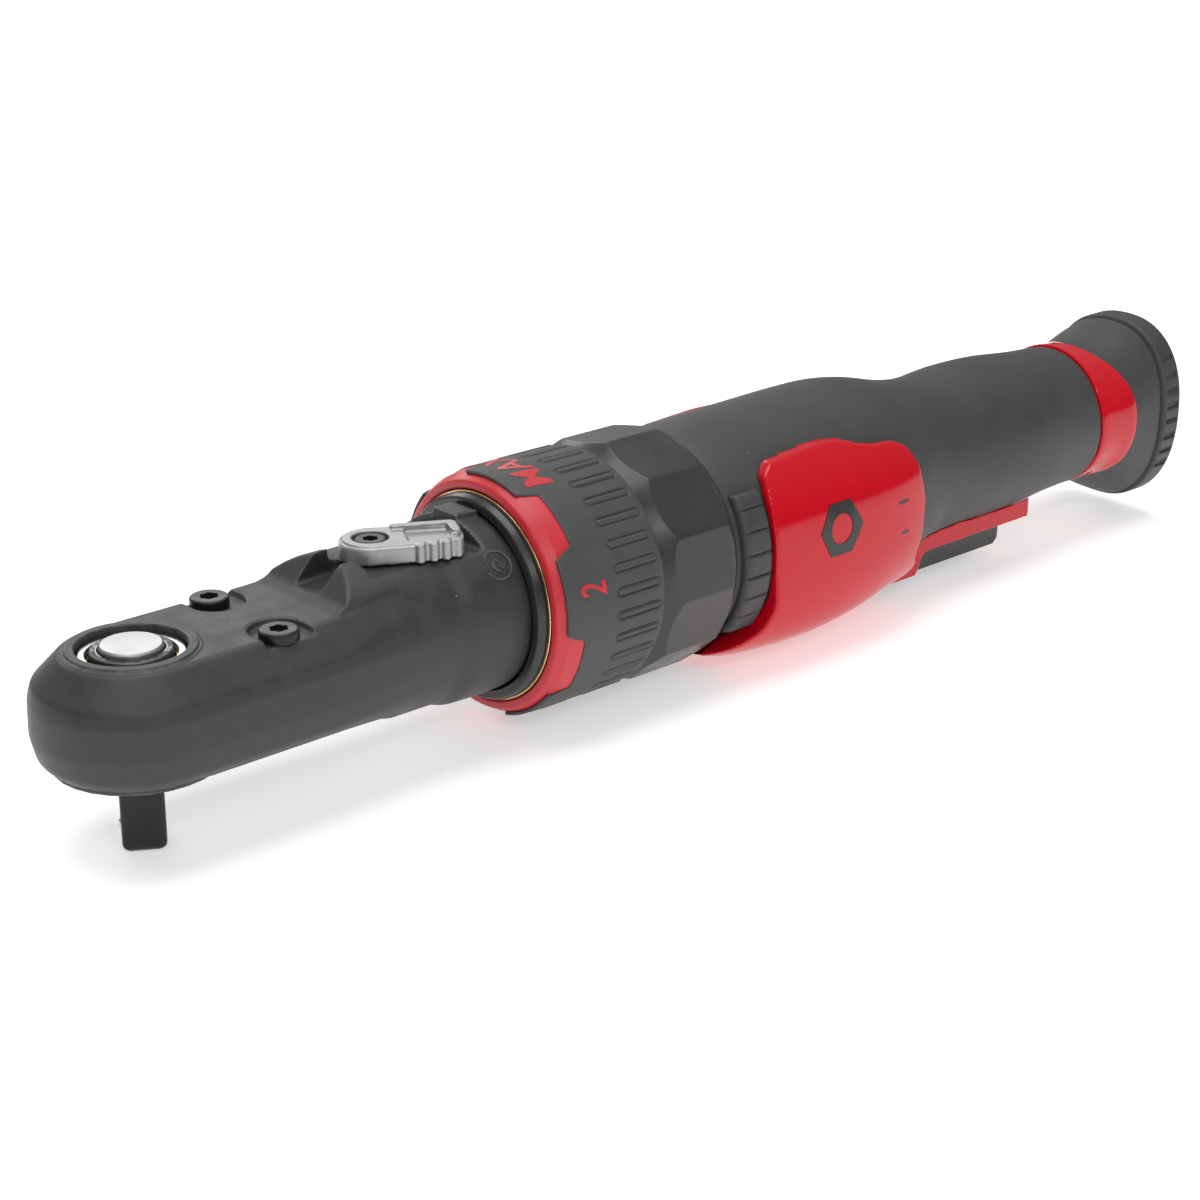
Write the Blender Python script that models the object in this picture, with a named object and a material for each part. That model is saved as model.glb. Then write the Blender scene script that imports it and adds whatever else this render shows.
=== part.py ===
"""Inline air ratchet with a 1/4 in square drive, built as separate pieces.

Metres, +Z up. The origin is at the centre of the square drive's tip, +X runs along the tool
towards the air inlet, and the selector lever and the head screws are on the +Z side.
"""

import math

import bmesh
import bpy
from mathutils import Vector

MM = 0.001

# ---------------------------------------------------------------- driving dimensions
AXIS_Z = 22.0 * MM  # height of the tool's long axis over the drive tip

HEAD_NOSE_R = 14.9 * MM
HEAD_TOP_Z = 30.3 * MM
HEAD_UPPER_EDGE_Z = 26.0 * MM
HEAD_LOWER_EDGE_Z = 16.2 * MM
HEAD_BOTTOM_Z = 13.2 * MM
HEAD_TOP_HALF = 10.2 * MM
HEAD_CAVITY_R = 12.6 * MM
HEAD_CAVITY_TOP_Z = 26.5 * MM
YOKE_PASSAGE_HALF = 6.8 * MM
SPINDLE_BORE_R = 7.88 * MM

HEAD_SCREW_X = 18.8 * MM
HEAD_SCREW_Y = 8.7 * MM
HEAD_SCREW_SEAT_Z = 29.2 * MM
HEAD_SCREW_HEAD_H = 1.6 * MM
SCREW_POCKET_X = 19.3 * MM
SCREW_POCKET_Y = 7.5 * MM
SCREW_POCKET_R = 4.2 * MM

SQUARE_DRIVE = 6.35 * MM
SQUARE_TURN = math.radians(-31.8)
HEX_ACROSS_FLATS = 11.11 * MM
PILOT_R = 4.59 * MM
PILOT_TOP_Z = 31.05 * MM

GEAR_TEETH = 72
GEAR_TIP_R = 8.9 * MM
GEAR_ROOT_R = 8.45 * MM
CRANK_THROW = 1.2 * MM
CRANK_PIN_R = 1.5 * MM
YOKE_SLOT_HALF = 4.25 * MM
PAWL_PIN_X = 10.3 * MM
PAWL_PIN_Y = 3.8 * MM

LEVER_X = 42.0 * MM
LEVER_REST = math.radians(-26.8)
LEVER_SEAT_Z = 33.4 * MM
LEVER_TOP_Z = 36.7 * MM
PEG_THROW = 1.2 * MM  # the selector shaft's peg, which slides the shift bar

DIAL_FRONT_X = 62.6 * MM
NUT_FRONT_X = 84.8 * MM
NUT_REAR_X = 100.1 * MM
NUT_CORNER_R = 20.5 * MM
NUT_FACETS = 12
NUT_TURN = math.radians(24.0)

MODULE = 0.55 * MM
SUN_TEETH = 12
PLANET_TEETH = 15
RING_TEETH = 42
PLANET_ORBIT_R = MODULE * (SUN_TEETH + PLANET_TEETH) / 2

MOTOR_X0 = 104.3 * MM
MOTOR_X1 = 146.0 * MM
MOTOR_BORE_R = 12.6 * MM
ROTOR_R = 11.2 * MM
ROTOR_DROP = 1.2 * MM

THROTTLE_PIVOT_X = 155.5 * MM
THROTTLE_PIVOT_Z = AXIS_Z - 16.2 * MM
VALVE_X = 172.0 * MM

# ---------------------------------------------------------------- clear the scene
for old in list(bpy.data.objects):
    bpy.data.objects.remove(old, do_unlink=True)


# ---------------------------------------------------------------- materials
def material(name, colour, roughness, metallic=0.0):
    made = bpy.data.materials.new(name)
    made.use_nodes = True
    shader = made.node_tree.nodes["Principled BSDF"]
    shader.inputs["Base Color"].default_value = (*colour, 1.0)
    shader.inputs["Roughness"].default_value = roughness
    shader.inputs["Metallic"].default_value = metallic
    made.diffuse_color = (*colour, 1.0)
    return made


HEAD_STEEL = material("head_steel", (0.075, 0.073, 0.070), 0.62, 0.6)
GROUND_STEEL = material("ground_steel", (0.62, 0.62, 0.62), 0.28, 1.0)
BLACK_STEEL = material("black_steel", (0.022, 0.022, 0.023), 0.42, 0.7)
GEAR_STEEL = material("gear_steel", (0.36, 0.36, 0.37), 0.35, 1.0)
BRONZE = material("bronze", (0.42, 0.28, 0.12), 0.4, 1.0)
BRASS = material("brass", (0.60, 0.46, 0.20), 0.3, 1.0)
CAST_ALUMINIUM = material("cast_aluminium", (0.45, 0.45, 0.45), 0.45, 1.0)
RED_PLASTIC = material("red_plastic", (0.66, 0.045, 0.065), 0.42)
RED_GLOSS = material("red_gloss", (0.50, 0.008, 0.018), 0.12)
DIAL_RUBBER = material("dial_rubber", (0.030, 0.030, 0.031), 0.7)
NUT_BLACK = material("nut_black", (0.028, 0.028, 0.030), 0.35)
GRIP_RUBBER = material("grip_rubber", (0.040, 0.040, 0.042), 0.66)
BLACK_PLASTIC = material("black_plastic", (0.03, 0.03, 0.032), 0.5)
VANE_RESIN = material("vane_resin", (0.12, 0.07, 0.035), 0.6)
FELT = material("felt", (0.25, 0.25, 0.24), 0.95)


# ---------------------------------------------------------------- mesh helpers
def finish(name, bm, mat, sharp=35.0):
    """Turn a bmesh into a named object, smooth apart from edges over the sharp angle."""
    bmesh.ops.remove_doubles(bm, verts=bm.verts, dist=0.5e-6)
    bmesh.ops.recalc_face_normals(bm, faces=bm.faces)
    mesh = bpy.data.meshes.new(name)
    bm.to_mesh(mesh)
    bm.free()
    for face in mesh.polygons:
        face.use_smooth = True
    mesh.set_sharp_from_angle(angle=math.radians(sharp))
    mesh.materials.append(mat)
    obj = bpy.data.objects.new(name, mesh)
    bpy.context.scene.collection.objects.link(obj)
    return obj


def ring_faces(bm, rings, closed_ends=True):
    """Bridge equal rings of vertices with quads, and cap both ends."""
    count = len(rings[0])
    for first, second in zip(rings, rings[1:]):
        for i in range(count):
            j = (i + 1) % count
            bm.faces.new((first[i], first[j], second[j], second[i]))
    if closed_ends:
        bm.faces.new(list(reversed(rings[0])))
        bm.faces.new(rings[-1])


def around(axis, along, radius, angle, centre):
    """A point at this distance along an axis and at this radius and angle round it."""
    c, s = math.cos(angle), math.sin(angle)
    if axis == "X":
        return Vector((along, centre[0] + radius * c, centre[1] + radius * s))
    if axis == "Y":
        return Vector((centre[0] + radius * c, along, centre[1] + radius * s))
    return Vector((centre[0] + radius * c, centre[1] + radius * s, along))


def lathe_mesh(profile, axis, centre, steps, turn=0.0):
    """Revolve a closed or open (along, radius) profile. Points of radius 0 become poles."""
    bm = bmesh.new()
    rings = []
    for along, radius in profile:
        if radius < 1e-7:
            rings.append([bm.verts.new(around(axis, along, 0, 0, centre))])
            continue
        ring = []
        for k in range(steps):
            angle = turn + 2 * math.pi * k / steps
            ring.append(bm.verts.new(around(axis, along, radius, angle, centre)))
        rings.append(ring)
    pairs = list(zip(rings, rings[1:]))
    if profile[0][1] > 1e-7 and profile[-1][1] > 1e-7:
        pairs.append((rings[-1], rings[0]))
    for first, second in pairs:
        for k in range(steps):
            j = (k + 1) % steps
            if len(first) == 1:
                bm.faces.new((first[0], second[j], second[k]))
            elif len(second) == 1:
                bm.faces.new((first[k], first[j], second[0]))
            else:
                bm.faces.new((first[k], first[j], second[j], second[k]))
    return bm


def lathe(name, profile, mat, axis="X", centre=(0.0, AXIS_Z), steps=32, turn=0.0, sharp=35.0):
    """Solid of revolution from (along, radius) points in millimetres."""
    points = [(a * MM, r * MM) for a, r in profile]
    return finish(name, lathe_mesh(points, axis, centre, steps, turn), mat, sharp)


def tube(name, a0, a1, inner, outer, mat, axis="X", centre=(0.0, AXIS_Z), steps=24):
    """A plain bush or race, in millimetres."""
    return lathe(name, [(a0, inner), (a0, outer), (a1, outer), (a1, inner)], mat, axis, centre, steps)


def rod(name, a0, a1, radius, mat, axis="X", centre=(0.0, AXIS_Z), steps=24, bevel=0.2):
    """A plain pin with bevelled ends, in millimetres."""
    profile = [
        (a0, 0),
        (a0, radius - bevel),
        (a0 + bevel, radius),
        (a1 - bevel, radius),
        (a1, radius - bevel),
        (a1, 0),
    ]
    return lathe(name, profile, mat, axis, centre, steps, math.radians(2.3))


def prism(name, outline, low, high, mat, axis="Z", sharp=35.0):
    """Extrude a plain outline. For Z it is (x, y), for X it is (y, z), for Y it is (x, z)."""
    bm = bmesh.new()
    rings = []
    for level in (low, high):
        if axis == "Z":
            points = [(u, v, level) for u, v in outline]
        elif axis == "X":
            points = [(level, u, v) for u, v in outline]
        else:
            points = [(u, level, v) for u, v in outline]
        rings.append([bm.verts.new(p) for p in points])
    ring_faces(bm, rings)
    return finish(name, bm, mat, sharp)


def block(name, x0, x1, y0, y1, z0, z1, mat):
    """A box given by its limits in millimetres."""
    outline = [(x0, y0), (x1, y0), (x1, y1), (x0, y1)]
    outline = [(x * MM, y * MM) for x, y in outline]
    return prism(name, outline, z0 * MM, z1 * MM, mat)


def cutter(obj):
    """Keep a Boolean helper in the file, out of renders and drawn as wire."""
    obj.hide_render = True
    obj.display_type = "WIRE"
    return obj


def boolean(obj, other, operation="DIFFERENCE"):
    made = obj.modifiers.new(operation.lower(), "BOOLEAN")
    made.operation = operation
    made.solver = "EXACT"
    made.object = cutter(other)
    return obj


def polygon(radius, count, turn=0.0, centre=(0.0, 0.0)):
    """A regular outline."""
    points = []
    for k in range(count):
        angle = turn + 2 * math.pi * k / count
        points.append((centre[0] + radius * math.cos(angle), centre[1] + radius * math.sin(angle)))
    return points


def rounded(points, radius, steps=4):
    """Round the corners of a convex outline."""
    out = []
    count = len(points)
    for i in range(count):
        here = Vector(points[i])
        before = (Vector(points[i - 1]) - here).normalized()
        after = (Vector(points[(i + 1) % count]) - here).normalized()
        half = before.angle(after) / 2
        reach = radius / math.tan(half)
        start = here + before * reach
        end = here + after * reach
        middle = here + (before + after).normalized() * (radius / math.sin(half))
        a0 = math.atan2(start.y - middle.y, start.x - middle.x)
        a1 = math.atan2(end.y - middle.y, end.x - middle.x)
        turn = (a1 - a0 + math.pi) % (2 * math.pi) - math.pi
        for k in range(steps + 1):
            angle = a0 + turn * k / steps
            out.append((middle.x + radius * math.cos(angle), middle.y + radius * math.sin(angle)))
    return out


def loft_x(name, sections, mat, sharp=35.0):
    """Skin rings of (y, z) points placed along X."""
    bm = bmesh.new()
    rings = []
    for x, points in sections:
        rings.append([bm.verts.new((x, y, z)) for y, z in points])
    ring_faces(bm, rings)
    quads = [face for face in bm.faces if len(face.verts) == 4]
    bmesh.ops.triangulate(bm, faces=quads, quad_method="FIXED")
    return finish(name, bm, mat, sharp)


def grip_ring(side, top, bottom, count=48, power=2.0, lower_power=None):
    """A rounded section about the tool axis: half width, height above it and depth below it."""
    points = []
    upper_power = power
    for k in range(count):
        angle = 2 * math.pi * (k + 0.5) / count
        c, s = math.cos(angle), math.sin(angle)
        power = upper_power if s > 0 or lower_power is None else lower_power
        y = side * math.copysign(abs(c) ** (2 / power), c)
        tall = top if s > 0 else bottom
        z = AXIS_Z + tall * math.copysign(abs(s) ** (2 / power), s)
        points.append((y, z))
    return points


def between(table, x):
    """Smooth reading of a table of (x, value, ...) rows."""
    if x <= table[0][0]:
        return table[0][1:]
    for low, high in zip(table, table[1:]):
        if x <= high[0]:
            t = (x - low[0]) / (high[0] - low[0])
            t = t * t * (3 - 2 * t)
            return tuple(a + (b - a) * t for a, b in zip(low[1:], high[1:]))
    return table[-1][1:]


# ---------------------------------------------------------------- gear outlines
def involute(base, radius):
    """The roll-off angle of an involute from its base circle at this radius."""
    if radius <= base:
        return 0.0
    return math.sqrt((radius / base) ** 2 - 1) - math.acos(base / radius)


def gear_outline(teeth, slack, centre=(0.0, 0.0), turn=0.0, addendum=0.8, dedendum=1.1, inside=False):
    """An involute outline. slack is taken off each tooth's thickness, or added to a ring's space."""
    pressure = math.radians(25.0)
    pitch = MODULE * teeth / 2
    base = pitch * math.cos(pressure)
    tip = pitch + MODULE * addendum
    root = pitch - MODULE * dedendum
    if inside:
        tip = pitch + MODULE * dedendum
        root = pitch - MODULE * addendum
    half = math.pi / (2 * teeth) + (slack if inside else -slack) / (2 * pitch)
    at_pitch = involute(base, pitch)
    points = []
    radii = [root, pitch, tip]
    for k in range(teeth):
        middle = turn + 2 * math.pi * k / teeth
        flank = []
        for radius in radii:
            angle = half + at_pitch - involute(base, radius)
            flank.append((radius, angle))
        for radius, angle in flank:
            points.append((radius, middle - angle))
        for radius, angle in reversed(flank):
            points.append((radius, middle + angle))
    out = []
    for radius, angle in points:
        point = (centre[0] + radius * math.cos(angle), centre[1] + radius * math.sin(angle))
        if not out or math.dist(point, out[-1]) > 2e-6:
            out.append(point)
    return out


# ---------------------------------------------------------------- head housing
def head_profile():
    """Half section of the head in millimetres: (half width, height) from the bottom centre up."""
    top, upper, lower, bottom = (z / MM for z in (
        HEAD_TOP_Z, HEAD_UPPER_EDGE_Z, HEAD_LOWER_EDGE_Z, HEAD_BOTTOM_Z))
    nose = HEAD_NOSE_R / MM
    top_half = HEAD_TOP_HALF / MM
    return [
        (0.0, bottom),
        (nose - 3.1, bottom),
        (nose - 1.7, bottom + 0.8),
        (nose - 0.4, lower),
        (nose, lower + 2.8),
        (nose - 0.15, upper - 1.8),
        (nose - 0.6, upper),
        (top_half + 1.5, top - 0.8),
        (top_half, top),
        (0.0, top),
    ]


def head_shell():
    """The head's outer form: a rounded nose that turns into the round neck."""
    bm = bmesh.new()
    profile = head_profile()
    steps = 16
    low = bm.verts.new((0, 0, profile[0][1] * MM))
    high = bm.verts.new((0, 0, profile[-1][1] * MM))
    columns = []
    for j in range(steps + 1):
        angle = math.pi / 2 + math.pi * j / steps
        column = []
        for width, z in profile[1:-1]:
            spot = (width * MM * math.cos(angle), width * MM * math.sin(angle), z * MM)
            column.append(bm.verts.new(spot))
        columns.append(column)
    for left, right in zip(columns, columns[1:]):
        bm.faces.new((low, right[0], left[0]))
        for k in range(len(left) - 1):
            bm.faces.new((left[k], right[k], right[k + 1], left[k + 1]))
        bm.faces.new((left[-1], right[-1], high))
    rings = [[low] + columns[-1] + [high] + list(reversed(columns[0]))]
    inner = profile[1:-1]
    # each station: x, how far the section has turned round, and the neck radius there
    stations = [(8, 0.0, 13.7), (16, 0.0, 13.7), (24, 0.0, 13.7), (30, 0.12, 13.7), (36, 0.38, 13.7),
                (41, 0.72, 13.7), (45, 0.95, 13.7), (48, 1.0, 13.8)]
    for x, blend, radius in stations:
        points = []
        for k, (width, z) in enumerate(inner):
            angle = -math.pi / 2 + math.pi * (k + 1) / (len(inner) + 1)
            y = width * (1 - blend) + radius * math.cos(angle) * blend
            h = z * (1 - blend) + (AXIS_Z / MM + radius * math.sin(angle)) * blend
            points.append((y, h))
        bottom = profile[0][1] * (1 - blend) + (AXIS_Z / MM - radius) * blend
        top = profile[-1][1] * (1 - blend) + (AXIS_Z / MM + radius) * blend
        ring = [bm.verts.new((x * MM, 0, bottom * MM))]
        ring += [bm.verts.new((x * MM, -y * MM, z * MM)) for y, z in points]
        ring += [bm.verts.new((x * MM, 0, top * MM))]
        ring += [bm.verts.new((x * MM, y * MM, z * MM)) for y, z in reversed(points)]
        rings.append(ring)
    ring_faces(bm, rings, closed_ends=False)
    bm.faces.new(rings[-1])
    return finish("head_housing", bm, HEAD_STEEL, 20.0)


def build_head():
    head = head_shell()
    # neck barrel, collar, dial journal and the flange that the clamp nut pulls on
    neck = lathe("neck_form", [
        (36.0, 0), (36.0, 12.9), (38.0, 13.7), (49.0, 13.75), (50.6, 14.5), (57.0, 14.7), (60.8, 14.6),
        (62.0, 14.0), (84.5, 14.0), (84.5, 14.3), (88.0, 14.3), (88.0, 16.2), (92.9, 16.2), (92.9, 0),
    ], HEAD_STEEL, steps=40)
    boolean(head, neck, "UNION")
    # the ramp that rises to the neck in front of the lever
    ramp = lathe("ramp_form", [(24.0, 0), (24.0, 13.65), (41.0, 13.65), (41.0, 0)], HEAD_STEEL, steps=40)
    side = [(25.0, 24.0), (26.6, 30.0), (29.6, 31.4), (33.0, 34.6), (34.4, 35.5), (36.0, 36.4),
            (42.0, 36.4), (42.0, 24.0)]
    side_form = prism("ramp_side_form", [(x * MM, z * MM) for x, z in side], -9.4 * MM, 9.4 * MM,
                      HEAD_STEEL, axis="Y")
    boolean(ramp, side_form, "INTERSECT")
    boolean(head, ramp, "UNION")
    lug = block("lug_form", 56.6, 60.6, -2.4, 3.4, 33.0, 37.3, HEAD_STEEL)
    boolean(head, lug, "UNION")
    rim = [(29.0, 6.0), (29.0, 9.9), (30.3, 9.63), (30.55, 9.3), (30.55, 6.0)]
    collar = lathe("bearing_collar_form", rim,
                   HEAD_STEEL, axis="Z", centre=(0, 0), steps=32)
    boolean(head, collar, "UNION")
    # cavities
    cavity = rod("head_cavity", 10.0, HEAD_CAVITY_TOP_Z / MM, HEAD_CAVITY_R / MM, HEAD_STEEL, "Z", (0, 0),
                 32, 0.01)
    boolean(head, cavity)
    spindle_bore = rod("spindle_bore", 25.0, 33.0, SPINDLE_BORE_R / MM, HEAD_STEEL, "Z", (0, 0), 32, 0.01)
    boolean(head, spindle_bore)
    half = YOKE_PASSAGE_HALF / MM
    passage = block("yoke_passage", 6.0, 33.0, -half, half, 16.6, 26.5, HEAD_STEEL)
    boolean(head, passage)
    crank_bore = lathe("crank_bore", [
        (30.0, 0), (30.0, 7.5), (64.0, 7.5), (64.0, 8.6), (79.0, 8.6), (79.0, 11.6),
        (87.6, 11.6), (87.6, 13.9), (94.0, 13.9), (94.0, 0),
    ], HEAD_STEEL, steps=24, turn=math.radians(1.7))
    boolean(head, crank_bore)
    # lever seat and shaft hole, shift bar channels, open channel through the ramp
    seat = block("lever_seat", 36.4, 56.6, -13.0, 13.0, LEVER_SEAT_Z / MM, 40.0, HEAD_STEEL)
    boolean(head, seat)
    shaft_hole = rod("selector_hole", 30.0, 34.5, 2.1, HEAD_STEEL, "Z", (LEVER_X, 0), 14, 0.01)
    boolean(head, shaft_hole)
    boolean(head, block("shift_bar_front_channel", 11.0, 34.8, -2.2, 2.2, 24.0, 29.2, HEAD_STEEL))
    boolean(head, block("shift_bar_rear_channel", 31.7, 46.0, -2.2, 2.2, 27.0, 31.2, HEAD_STEEL))
    boolean(head, block("ramp_channel", 27.9, 36.9, -2.9, 2.9, 31.6, 40.0, HEAD_STEEL))
    # pockets and holes for the two cap screws
    for side in (-1, 1):
        x, y, r = SCREW_POCKET_X, side * SCREW_POCKET_Y, SCREW_POCKET_R
        arc = []
        for k in range(9):
            angle = math.pi * k / 8
            arc.append((x + r * math.cos(angle), y - side * r * math.sin(angle)))
        outline = arc + [(x - r, side * 18 * MM), (x + r, side * 18 * MM)]
        if side > 0:
            outline = list(reversed(outline))
        pocket = prism(f"screw_pocket_{side}", outline, HEAD_SCREW_SEAT_Z, 34 * MM, HEAD_STEEL)
        boolean(head, pocket)
        spot = (HEAD_SCREW_X, side * HEAD_SCREW_Y)
        hole = rod(f"screw_hole_{side}", 15.0, 29.6, 1.8, HEAD_STEEL, "Z", spot, 12, 0.01)
        boolean(head, hole)
    ball_hole = rod("dial_ball_hole", 30.0, 38.0, 1.35, HEAD_STEEL, "Z", (74.0 * MM, 0), 12, 0.01)
    boolean(head, ball_hole)
    return head


def torx_outline(radius, centre):
    points = []
    for k in range(12):
        angle = 2 * math.pi * k / 12
        r = radius * (0.86 + 0.14 * math.cos(6 * angle))
        points.append((centre[0] + r * math.cos(angle), centre[1] + r * math.sin(angle)))
    return points


def cap_screw(name, x, y, seat, head_r, head_h, shank_r, tip_z, mat=BLACK_STEEL):
    """A Torx cap screw that stands along Z. Heights in millimetres."""
    screw = lathe(name, [
        (tip_z, 0), (tip_z, shank_r - 0.4), (tip_z + 0.4, shank_r), (seat, shank_r), (seat, head_r),
        (seat + head_h - 0.45, head_r), (seat + head_h, head_r - 0.45), (seat + head_h, 0),
    ], mat, axis="Z", centre=(x, y), steps=20)
    recess = prism(name + "_recess", torx_outline(head_r * 0.5 * MM, (x, y)),
                   (seat + head_h * 0.35) * MM, (seat + head_h + 1) * MM, mat)
    boolean(screw, recess)
    return screw


# ---------------------------------------------------------------- drive train in the head
def build_drive():
    tube("spindle_bush", 26.7, 28.7, 6.2, 7.6, BRONZE, "Z", (0, 0), 28)
    snap = lathe("spindle_snap_ring", [(28.95, 6.45), (28.95, 7.6), (29.75, 7.6), (29.75, 6.45)],
                 BLACK_STEEL, "Z", (0, 0), 24)
    gap = block("snap_ring_gap", -9.0, -4.0, -1.7, 1.7, 28.0, 31.0, BLACK_STEEL)
    gap.rotation_euler = (0, 0, math.radians(10))
    boolean(snap, gap)
    retainer = lathe("spindle_retainer", [
        (13.35, 8.6), (13.35, 12.3), (15.6, 12.3), (15.6, 8.6),
    ], HEAD_STEEL, "Z", (0, 0), 28)
    for k in range(4):
        angle = math.pi / 4 + k * math.pi / 2
        spot = (10.5 * MM * math.cos(angle), 10.5 * MM * math.sin(angle))
        boolean(retainer, rod(f"retainer_hole_{k}", 12.0, 14.6, 0.9, HEAD_STEEL, "Z", spot, 12, 0.01))
    tube("wave_washer", 15.9, 16.5, 8.7, 11.6, GEAR_STEEL, "Z", (0, 0))
    # spindle: a fine ratchet wheel between two journals, hexagon bore below, round bore above
    spindle = lathe("drive_spindle", [
        (12.1, 0), (12.1, 7.9), (12.5, 8.3), (18.6, 8.3), (18.6, 7.0), (24.4, 7.0), (24.4, 5.9),
        (30.0, 5.9), (30.3, 5.6), (30.3, 0),
    ], GEAR_STEEL, "Z", (0, 0), 28)
    teeth = []
    for k in range(GEAR_TEETH):
        for part, radius in ((0.0, GEAR_ROOT_R), (0.5, GEAR_TIP_R)):
            angle = 2 * math.pi * (k + part) / GEAR_TEETH
            teeth.append((radius * math.cos(angle), radius * math.sin(angle)))
    boolean(spindle, prism("ratchet_wheel_form", teeth, 18.55 * MM, 24.35 * MM, GEAR_STEEL), "UNION")
    hexagon = polygon((HEX_ACROSS_FLATS / 2 + 0.2 * MM) / math.cos(math.pi / 6), 6, SQUARE_TURN)
    boolean(spindle, prism("spindle_hex_bore", hexagon, 8.0 * MM, 24.0 * MM, GEAR_STEEL))
    boolean(spindle, rod("spindle_pilot_bore", 22.0, 33.0, 4.85, GEAR_STEEL, "Z", (0, 0), 24, 0.01))
    # anvil: square drive, hexagon shank with a turned lead, and ground pilot
    pilot, pilot_top = PILOT_R / MM, PILOT_TOP_Z / MM
    anvil = lathe("anvil", [
        (11.2, 0), (11.2, 4.3), (30.6, pilot), (pilot_top - 0.25, pilot),
        (pilot_top, pilot - 0.25), (pilot_top, 0),
    ], BLACK_STEEL, "Z", (0, 0), 24)
    shank = polygon((HEX_ACROSS_FLATS / 2) / math.cos(math.pi / 6), 6, SQUARE_TURN)
    hexagon_form = prism("anvil_hex_form", shank, 11.3 * MM, 23.6 * MM, BLACK_STEEL)
    lead = lathe("anvil_lead_form", [(11.0, 0), (11.0, 4.6), (12.2, 6.6), (24.0, 6.6), (24.0, 0)],
                 BLACK_STEEL, "Z", (0, 0), 36)
    boolean(hexagon_form, lead, "INTERSECT")
    boolean(anvil, hexagon_form, "UNION")
    bm = bmesh.new()
    half = SQUARE_DRIVE / 2
    rings = []
    for z, inset in ((0.0, 0.9), (0.9, 0.0), (11.9, 0.0)):
        square = [(-half + inset * MM, -half + inset * MM), (half - inset * MM, -half + inset * MM),
                  (half - inset * MM, half - inset * MM), (-half + inset * MM, half - inset * MM)]
        square = rounded(square, 0.55 * MM, 3)
        rings.append([bm.verts.new((x, y, z * MM)) for x, y in square])
    ring_faces(bm, rings)
    square_form = finish("anvil_square_form", bm, BLACK_STEEL)
    square_form.rotation_euler = (0, 0, SQUARE_TURN)
    boolean(anvil, square_form, "UNION")
    facing = SQUARE_TURN + math.pi
    direction = Vector((math.cos(facing), math.sin(facing), 0))
    hole = rod("ball_hole", -1.0, 3.0, 1.25, BLACK_STEEL, "X", (0, 0), 14, 0.01)
    hole.rotation_euler = (0, 0, facing)
    hole.location = direction * 1.3 * MM + Vector((0, 0, 3.6 * MM))
    boolean(anvil, hole)
    bpy.ops.mesh.primitive_uv_sphere_add(segments=12, ring_count=7, radius=1.0 * MM)
    ball = bpy.context.object
    ball.name = "anvil_ball"
    ball.data.name = "anvil_ball"
    ball.location = direction * (half - 0.55 * MM) + Vector((0, 0, 3.6 * MM))
    for face in ball.data.polygons:
        face.use_smooth = True
    ball.data.materials.append(GROUND_STEEL)
    return anvil


def build_yoke():
    """The rocker: two cheeks round the spindle and a forked tail that takes the crank pin."""
    yoke = lathe("yoke", [(24.7, 6.2), (24.7, 12.2), (26.2, 12.2), (26.2, 6.2)],
                 GEAR_STEEL, "Z", (0, 0), 28)
    lower = lathe("yoke_lower_form", [(16.8, 8.6), (16.8, 12.2), (18.3, 12.2), (18.3, 8.6)],
                  GEAR_STEEL, "Z", (0, 0), 28)
    web = block("yoke_web_form", 12.6, 18.5, -5.25, 5.25, 16.8, 26.2, GEAR_STEEL)
    boolean(web, lower, "UNION")
    boolean(yoke, web, "UNION")
    bridge = block("yoke_bridge_form", 11.2, 13.0, -4.0, 4.0, 24.7, 26.2, GEAR_STEEL)
    boolean(yoke, bridge, "UNION")
    low_bridge = block("yoke_low_bridge_form", 11.2, 13.0, -4.0, 4.0, 16.8, 18.3, GEAR_STEEL)
    boolean(yoke, low_bridge, "UNION")
    for side in (-1, 1):
        y0, y1 = sorted((side * YOKE_SLOT_HALF / MM, side * 5.25))
        prong = block(f"yoke_prong_form_{side}", 18.0, 29.2, y0, y1, 17.8, 25.6, GEAR_STEEL)
        boolean(yoke, prong, "UNION")
    for side in (-1, 1):
        boolean(yoke, rod(f"pawl_pin_hole_{side}", 15.0, 28.0, 0.85, GEAR_STEEL, "Z",
                          (PAWL_PIN_X, side * PAWL_PIN_Y), 16, 0.01))
    # the two pawls, each on its pin in the front web
    for side, name in ((1, "left"), (-1, "right")):
        rod(f"pawl_pin_{name}", 17.1, 25.9, 0.8, GEAR_STEEL, "Z",
            (PAWL_PIN_X, side * PAWL_PIN_Y), 16, 0.1)
        pivot = Vector((PAWL_PIN_X, side * PAWL_PIN_Y))
        tip_r = 9.25 if side > 0 else 9.8
        points = []
        for r, degrees in ((tip_r, 52.5), (tip_r + 1.15, 50.0), (11.75, 33.0)):
            a = math.radians(degrees) * side
            points.append((r * MM * math.cos(a), r * MM * math.sin(a)))
        for degrees in (15, -20, -60, -100, -140, -175):
            a = math.radians(degrees) * side
            points.append((pivot.x + 1.45 * MM * math.cos(a), pivot.y + 1.45 * MM * math.sin(a)))
        a = math.radians(35.0) * side
        points.append((9.6 * MM * math.cos(a), 9.6 * MM * math.sin(a)))
        if side < 0:
            points = list(reversed(points))
        pawl = prism(f"pawl_{name}", points, 18.7 * MM, 24.3 * MM, BLACK_STEEL)
        bore = rod(f"pawl_bore_{name}", 15.0, 28.0, 1.05, BLACK_STEEL, "Z", (pivot.x, pivot.y), 16, 0.01)
        boolean(pawl, bore)
    return yoke


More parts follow.
